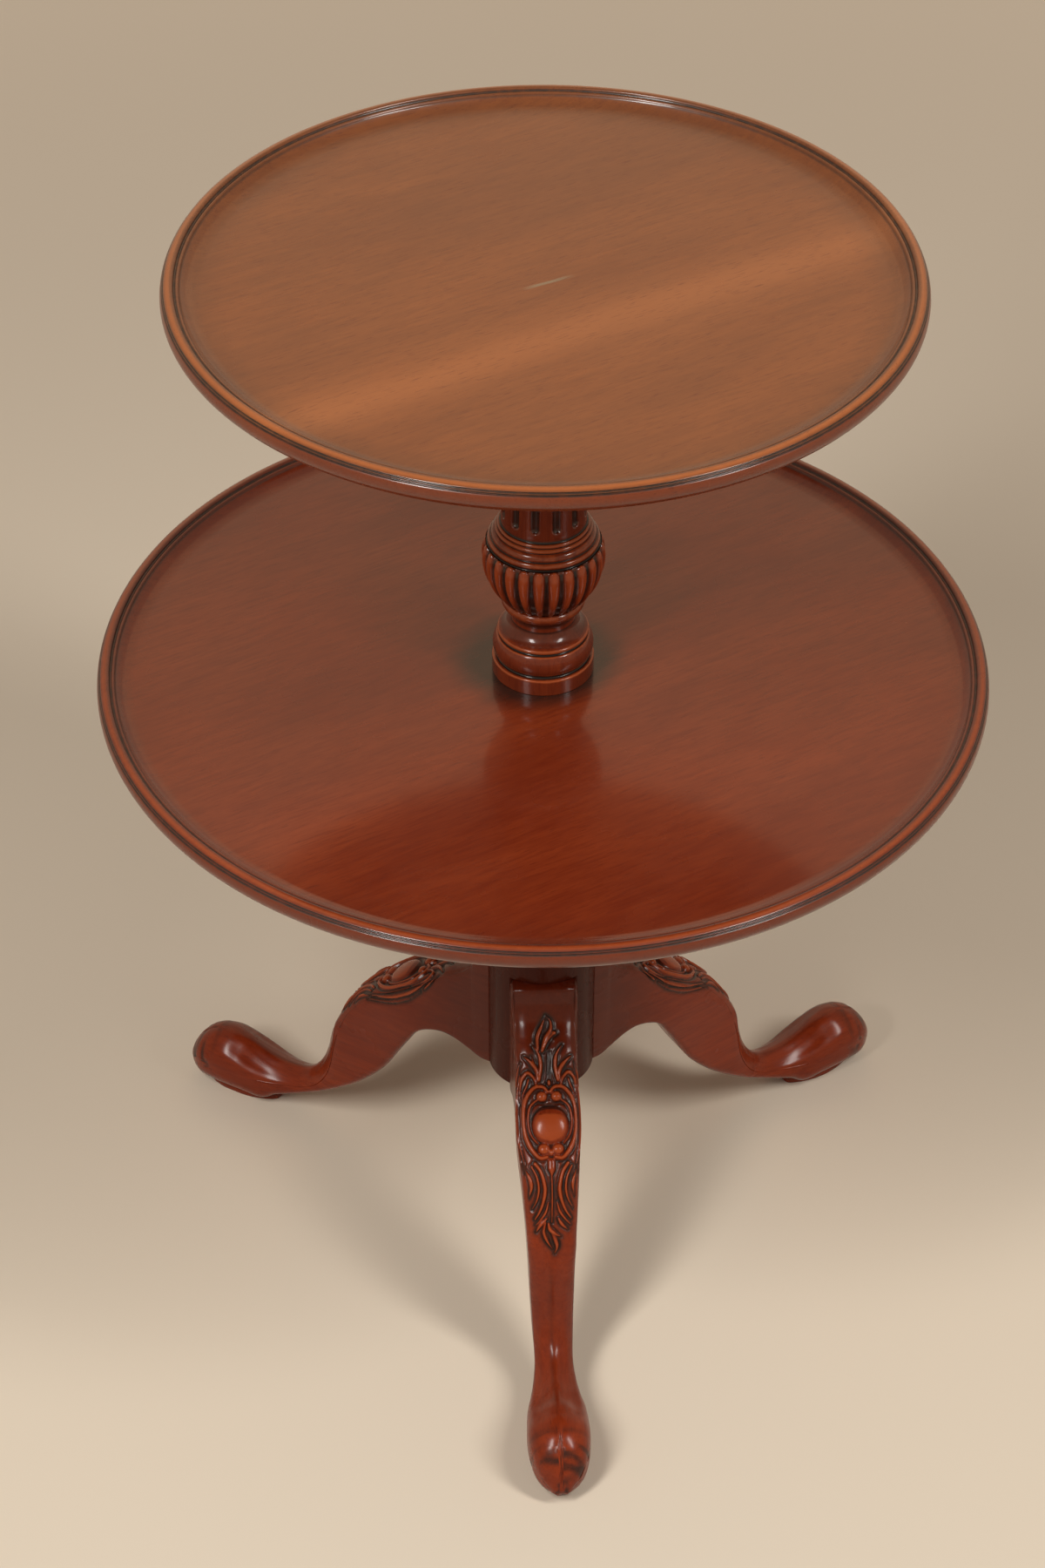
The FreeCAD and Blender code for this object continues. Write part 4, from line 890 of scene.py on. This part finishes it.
class Recipe:
    """The node tree of a material or of the world, grown node by node."""

    def __init__(self, owner):
        self.owner = owner
        owner.use_nodes = True
        self.tree = owner.node_tree

    def put(self, socket, value):
        """Links a socket value, or sets a plain one."""
        if isinstance(value, bpy.types.NodeSocket):
            self.tree.links.new(value, socket)
        else:
            socket.default_value = value

    def give(self, node, values):
        """Puts inputs of a node that is there from the start, both given by name."""
        for name, value in values.items():
            self.put(self.tree.nodes[node].inputs[name], value)

    def add(self, kind, inputs, settings=None):
        """New node with its inputs, given by name or number, and its settings."""
        thing = self.tree.nodes.new(kind)
        for name, value in (settings or {}).items():
            setattr(thing, name, value)
        for name, value in inputs.items():
            self.put(thing.inputs[name], value)
        return thing

    def math(self, operation, first, second=0.0, clamp=False):
        """One sum of two numbers."""
        settings = {"operation": operation, "use_clamp": clamp}
        return self.add("ShaderNodeMath", {0: first, 1: second}, settings).outputs[0]

    def off(self, value, place):
        """How far a value is from a place, on either side."""
        return self.math("ABSOLUTE", self.math("SUBTRACT", value, place))

    def span(self, value, low, high, to_low=0.0, to_high=1.0):
        """A value carried smoothly from one range to another and held at the ends."""
        inputs = {0: value, 1: low, 2: high, 3: to_low, 4: to_high}
        settings = {"interpolation_type": "SMOOTHSTEP"}
        return self.add("ShaderNodeMapRange", inputs, settings).outputs[0]

    def between(self, noise, low, high):
        """Noise carried to a range of its own."""
        return self.span(noise, 0.3, 0.7, low, high)

    def shown(self, crest, edges):
        """How strongly the crests show something: edges are its start, its full and strength."""
        start, full, strength = edges
        return self.span(crest, start, full, 0.0, strength)

    def mix(self, factor, first, second):
        """Two colours mixed."""
        inputs = {"Factor": factor, 6: first, 7: second}
        return self.add("ShaderNodeMix", inputs, {"data_type": "RGBA"}).outputs[2]

    def scaled(self, vector, scale, rotation=(0.0, 0.0, 0.0)):
        """A vector turned and scaled."""
        inputs = {"Vector": vector, "Scale": scale, "Rotation": rotation}
        return self.add("ShaderNodeMapping", inputs).outputs[0]

    def noise(self, vector, scale, detail, roughness, distortion=0.0):
        """Noise between about 0.3 and 0.7 over a vector scaled along its three ways."""
        inputs = {"Vector": self.scaled(vector, scale), "Scale": 1.0, "Detail": detail}
        inputs.update({"Roughness": roughness, "Distortion": distortion})
        return self.add("ShaderNodeTexNoise", inputs).outputs[0]

    def field(self, name):
        """Value and vector of a mesh field."""
        thing = self.add("ShaderNodeAttribute", {}, {"attribute_name": name})
        return thing.outputs["Fac"], thing.outputs["Vector"]

    def place(self):
        """Object coordinates in metres."""
        return self.add("ShaderNodeTexCoord", {}).outputs["Object"]

    def parts(self, vector):
        """The three numbers of a vector."""
        return self.add("ShaderNodeSeparateXYZ", {0: vector}).outputs

    def joined(self, *parts):
        """A vector of up to three numbers."""
        return self.add("ShaderNodeCombineXYZ", dict(enumerate(parts))).outputs[0]

    def from_axis(self):
        """Distance from the upright axis in metres."""
        x, y, _ = self.parts(self.place())
        length = {"operation": "LENGTH"}
        return self.add("ShaderNodeVectorMath", {0: self.joined(x, y)}, length).outputs["Value"]

    def seen_ray(self):
        """1 for rays that the camera, a gloss or a clear piece sends out, and 0 for the light's."""
        rays = self.add("ShaderNodeLightPath", {}).outputs
        either = self.math("MAXIMUM", rays["Is Camera Ray"], rays["Is Glossy Ray"])
        return self.math("MAXIMUM", either, rays["Is Transmission Ray"])


def mahogany(name, look):
    """Polished mahogany over grain coordinates whose first one runs along the grain.

    look holds the colours, the wear and the darkening (grime and painted shade) over the crests,
    the surface's numbers, the name of the grain (a leg's field, a tray's plane or an upright
    shaft), and what is drawn over the figure.
    """
    wood = Recipe(bpy.data.materials.new(name))
    place = wood.place()
    if look["grain"] == "field":
        grain = wood.field("grain")[1]
    elif look["grain"] == "tray":
        grain = wood.scaled(place, (1.0, 1.0, 1.0), (0.0, 0.0, -TRAY_GRAIN_ANGLE))
    else:
        x, y, z = wood.parts(place)
        grain = wood.joined(z, x, y)
    wide = wood.noise(grain, (2.6, 11.0, 11.0), 4.0, 0.6, 0.5)
    mottle = wood.noise(grain, (26.0, 150.0, 150.0), 4.0, 0.65, 0.3)
    fine = wood.noise(grain, (34.0, 420.0, 420.0), 2.0, 0.6)
    pore = wood.noise(grain, (110.0, 1500.0, 1500.0), 1.0, 0.5)
    broad = wood.between(wide, 0.14, 0.6)
    figure = wood.math("ADD", broad, wood.between(mottle, 0.0, 0.24))
    tone = wood.mix(figure, look["dark"], look["light"])
    tone = wood.mix(wood.span(fine, 0.42, 0.75, 0.0, 0.5), tone, look["dark"])
    if look["drawn"]:
        tone = look["drawn"](wood, grain, wide, tone)
    pores = wood.span(pore, 0.60, 0.72)
    tone = wood.mix(wood.math("MULTIPLY", pores, 0.5), tone, DEEP_RED)
    crest = wood.field("crest")[0]
    stain_and_shade = wood.field("stain_and_shade")[0]
    ragged = wood.noise(place, (150.0, 150.0, 150.0), 4.0, 0.65)
    edge = wood.between(ragged, -look["ragged"], look["ragged"])
    rubbed = wood.shown(wood.math("ADD", crest, edge), look["wear"])
    tone = wood.mix(rubbed, tone, look["bare"])
    # Darker in hollows and where the staining field is set: grime, and painted shade where the
    # fields carry it.
    patches = wood.span(ragged, 0.38, 0.58, look["patchy"], 1.0)
    stained_and_shaded = wood.math("MULTIPLY", stain_and_shade, patches)
    recess = wood.math("MAXIMUM", wood.shown(crest, look["dirt_and_shade"]), stained_and_shaded, clamp=True)
    tone = wood.mix(recess, tone, DARK_STAIN_AND_SHADE)
    handled = wood.noise(place, (14.0, 14.0, 14.0), 4.0, 0.6)
    rough = wood.between(handled, look["rough"] - 0.05, look["rough"] + 0.07)
    height = wood.math("MULTIPLY", pores, -0.5)
    height = wood.math("ADD", height, wood.math("MULTIPLY", fine, 0.25))
    bump = {"Height": height, "Strength": 0.25, "Distance": 0.00012}
    surface = {
        "Base Color": tone,
        "Roughness": wood.math("ADD", rough, wood.math("MULTIPLY", recess, 0.18)),
        "Normal": wood.add("ShaderNodeBump", bump).outputs[0],
        "Coat Weight": look["coat"],
        "Coat Roughness": look["polish"],
        "Specular IOR Level": look["shine"],
    }
    wood.give(SURFACE, surface)
    return wood.owner


def red_side(wood, tone):
    """Redder wood on a tray's side and underside."""
    side = wood.math("MULTIPLY", wood.field("side")[0], 0.8)
    return wood.mix(side, tone, RIM_RED)


def upper_tray_drawn(wood, grain, wide, tone):
    """Pale band across the upper tray, and a short scratch."""
    x, y, _ = wood.parts(grain)
    band = wood.off(wood.math("ADD", y, wood.span(wide, 0.2, 0.8, -0.007, 0.007)), -0.054)
    tone = wood.mix(wood.span(band, 0.002, 0.045, 0.35, 0.0), tone, ORANGE_BROWN)
    tone = wood.mix(wood.span(band, 0.002, 0.024, 0.42, 0.0), tone, ORANGE_BROWN)
    scratch = wood.off(y, wood.between(wide, -0.0045, 0.0035))
    short = wood.span(wood.off(x, 0.002), 0.006, 0.019, 1.0, 0.0)
    thin = wood.span(scratch, 0.0007, 0.0022, 0.65, 0.0)
    return red_side(wood, wood.mix(wood.math("MULTIPLY", short, thin), tone, SCRATCH))


def lower_tray_foot_shade_and_stain(wood, grain, wide, tone):
    """Painted shade, with dark staining, on the lower tray round the foot of the column."""
    distance = wood.math("ADD", wood.from_axis(), wood.span(wide, 0.2, 0.8, -0.01, 0.01))
    stain_and_shade = wood.span(distance, 0.032, 0.060, 0.90, 0.0)
    return red_side(wood, wood.mix(stain_and_shade, tone, DARK_STAIN_AND_SHADE))


def leg_painted_hub_shade(wood, grain, wide, tone):
    """Painted shade on the legs towards the hub, under the lower tray."""
    shade = wood.span(wood.from_axis(), 0.045, 0.115, 0.60, 0.0)
    return wood.mix(shade, tone, HUB_PAINTED_SHADE)


def colour(red, green, blue):
    """Opaque colour."""
    return (red, green, blue, 1.0)


# Near black, for grime and for painted shade.
DARK_STAIN_AND_SHADE = colour(0.012, 0.008, 0.006)
DEEP_RED = colour(0.085, 0.011, 0.004)
RED_BROWN = colour(0.190, 0.029, 0.008)
ORANGE_BROWN = colour(0.320, 0.098, 0.027)
SCRATCH = colour(0.210, 0.165, 0.100)
RIM_RED = colour(0.185, 0.030, 0.008)
# Painted shade for the legs near the hub.
HUB_PAINTED_SHADE = colour(0.040, 0.0055, 0.0020)
WORN_RED = colour(0.330, 0.066, 0.016)
WORN_ORANGE = colour(0.350, 0.100, 0.027)
BACKDROP = colour(0.620, 0.500, 0.360)
PALE_FLOOR = colour(0.69, 0.60, 0.48)
WORLD_LIGHT = colour(1.0, 0.94, 0.86)
WORLD_STRENGTH = 0.16
SURFACE = "Principled BSDF"

UPPER_TRAY = dict(
    coat=0.45, rough=0.24, shine=0.24, polish=0.10, ragged=0.05, patchy=0.8,
    dark=colour(0.128, 0.033, 0.009), light=colour(0.228, 0.062, 0.014), bare=WORN_ORANGE,
    wear=(0.3, 1.0, 0.75), dirt_and_shade=(-0.5, -1.0, 0.0), grain="tray", drawn=upper_tray_drawn,
)
LOWER_TRAY = dict(
    UPPER_TRAY, dark=colour(0.103, 0.0115, 0.004), light=colour(0.212, 0.033, 0.008),
    bare=WORN_RED, wear=(0.35, 1.1, 0.60), drawn=lower_tray_foot_shade_and_stain,
)
HIDDEN = dict(UPPER_TRAY, coat=0.0, rough=0.5, drawn=None)
SHAFT = dict(
    UPPER_TRAY, coat=0.5, shine=0.10, polish=0.13, dark=DEEP_RED, light=RED_BROWN,
    bare=WORN_RED, wear=(0.04, 0.20, 0.70), dirt_and_shade=(-0.01, -0.08, 0.97), grain="shaft",
    drawn=None,
)
# The hub: a darker copy of the shaft's mahogany, painted shade for the hub under the lower tray.
SHADED_HUB = dict(
    SHAFT, coat=0.08, shine=0.06, polish=0.10,
    dark=colour(0.036, 0.005, 0.002), light=colour(0.066, 0.0085, 0.0025),
)
BULB = dict(
    SHAFT, patchy=0.9, dark=colour(0.150, 0.018, 0.005), light=colour(0.260, 0.042, 0.011),
    bare=colour(0.370, 0.064, 0.015), wear=(0.06, 0.32, 0.65),
)
LIMB = dict(
    SHAFT, coat=0.30, shine=0.08, polish=0.20,
    dark=colour(0.120, 0.0125, 0.003), light=colour(0.270, 0.036, 0.008),
    bare=colour(0.350, 0.062, 0.015), wear=(0.25, 1.0, 0.75), dirt_and_shade=(-0.35, -1.1, 0.7),
    grain="field", drawn=leg_painted_hub_shade,
)


def plain_metal(name, tint, roughness):
    """Metal with slight wear in its tint."""
    recipe = Recipe(bpy.data.materials.new(name))
    marks = recipe.noise(recipe.place(), (90.0, 90.0, 90.0), 4.0, 0.6)
    darker = colour(*(0.45 * part for part in tint[:3]))
    tone = recipe.mix(recipe.span(marks, 0.4, 0.65), tint, darker)
    rough = recipe.between(marks, roughness, roughness + 0.2)
    recipe.give(SURFACE, {"Base Color": tone, "Roughness": rough, "Metallic": 1.0})
    return recipe.owner


def dress(trays, column, legs):
    """A material for every piece, the CAD nodes included."""
    upper = mahogany("upper_tray_mahogany", UPPER_TRAY)
    lower = mahogany("lower_tray_mahogany", LOWER_TRAY)
    turned = mahogany("turned_mahogany", SHAFT)
    bulb = mahogany("gadrooned_mahogany", BULB)
    limb = mahogany("leg_mahogany", LIMB)
    woods = [upper, lower, turned, bulb, turned] + [limb] * len(legs)
    for piece, wood in zip(trays + column + legs, woods):
        piece.data.materials.append(wood)
    hidden = mahogany("hidden_mahogany", HIDDEN)
    steel = plain_metal("screw_steel", colour(0.50, 0.49, 0.47), 0.35)
    others = dict.fromkeys(("upper_block", "lower_block", "leg_dowels"), hidden)
    others["base_column"] = mahogany("hub_mahogany_painted_shade", SHADED_HUB)
    others["bolt_insert"] = plain_metal("insert_brass", colour(0.62, 0.42, 0.16), 0.35)
    others["brace"] = plain_metal("brace_iron", colour(0.12, 0.11, 0.10), 0.5)
    for node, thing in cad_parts.items():
        thing.data.materials.clear()
        thing.data.materials.append(others.get(node, steel))


def pale_floor():
    """Wide pale floor that fades into the backdrop far from the table, where it is seen."""
    mesh = bpy.data.meshes.new("floor")
    side = FLOOR_SIDE
    corners = [(-side, -side, 0), (side, -side, 0), (side, side, 0), (-side, side, 0)]
    mesh.from_pydata(corners, [], [(0, 1, 2, 3)])
    floor = bpy.data.objects.new("floor", mesh)
    bpy.context.scene.collection.objects.link(floor)
    recipe = Recipe(bpy.data.materials.new("pale_floor"))
    far = recipe.span(recipe.from_axis(), 0.9, 4.5, 0.0, 0.85)
    seen = recipe.math("MULTIPLY", far, recipe.seen_ray())
    recipe.give(SURFACE, {"Base Color": PALE_FLOOR, "Roughness": 0.7})
    recipe.give(SURFACE, {"Emission Color": BACKDROP, "Emission Strength": seen})
    mesh.materials.append(recipe.owner)


def pale_world():
    """Faint warm light all round, and the backdrop where it is seen."""
    bpy.context.scene.world = bpy.data.worlds.new("studio")
    recipe = Recipe(bpy.context.scene.world)
    recipe.give("Background", {"Color": WORLD_LIGHT, "Strength": WORLD_STRENGTH})
    light = recipe.tree.nodes["Background"].outputs[0]
    backdrop = recipe.add("ShaderNodeBackground", {"Color": BACKDROP}).outputs[0]
    inputs = {0: recipe.seen_ray(), 1: light, 2: backdrop}
    choice = recipe.add("ShaderNodeMixShader", inputs).outputs[0]
    recipe.give("World Output", {"Surface": choice})


def lamp(name, place, size, power, tint):
    """Soft lamp, so wide and so tall, that looks at the table."""
    data = bpy.data.lights.new(name, "AREA")
    data.shape = "RECTANGLE"
    data.size, data.size_y = size
    data.energy = power
    data.color = tint
    thing = bpy.data.objects.new(name, data)
    bpy.context.scene.collection.objects.link(thing)
    thing.location = place
    aim = Vector(LAMP_TARGET) - Vector(place)
    thing.rotation_euler = aim.to_track_quat("-Z", "Y").to_euler()


def camera():
    """Camera at the photograph's place and angle."""
    data = bpy.data.cameras.new("camera")
    data.lens = CAMERA_LENS
    data.sensor_width = SENSOR_LONG_SIDE
    thing = bpy.data.objects.new("camera", data)
    matrix = np.eye(4)
    up, back = np.negative(CAMERA_DOWN), np.negative(CAMERA_FORWARD)
    matrix[:3] = np.stack([CAMERA_RIGHT, up, back, CAMERA_PLACE], axis=1)
    thing.matrix_world = Matrix(matrix.tolist())
    bpy.context.scene.collection.objects.link(thing)
    bpy.context.scene.camera = thing


trays = [tray_piece("upper_tray", UPPER_COVE_SHADE_AND_DIRT), tray_piece("lower_tray", LOWER_COVE_SHADE_AND_DIRT)]
column = column_pieces()
legs = leg_pieces()
dress(trays, column, legs)
bpy.context.scene.view_settings.view_transform = "Standard"
pale_floor()
pale_world()
for lamp_look in LAMPS:
    lamp(*lamp_look)
camera()
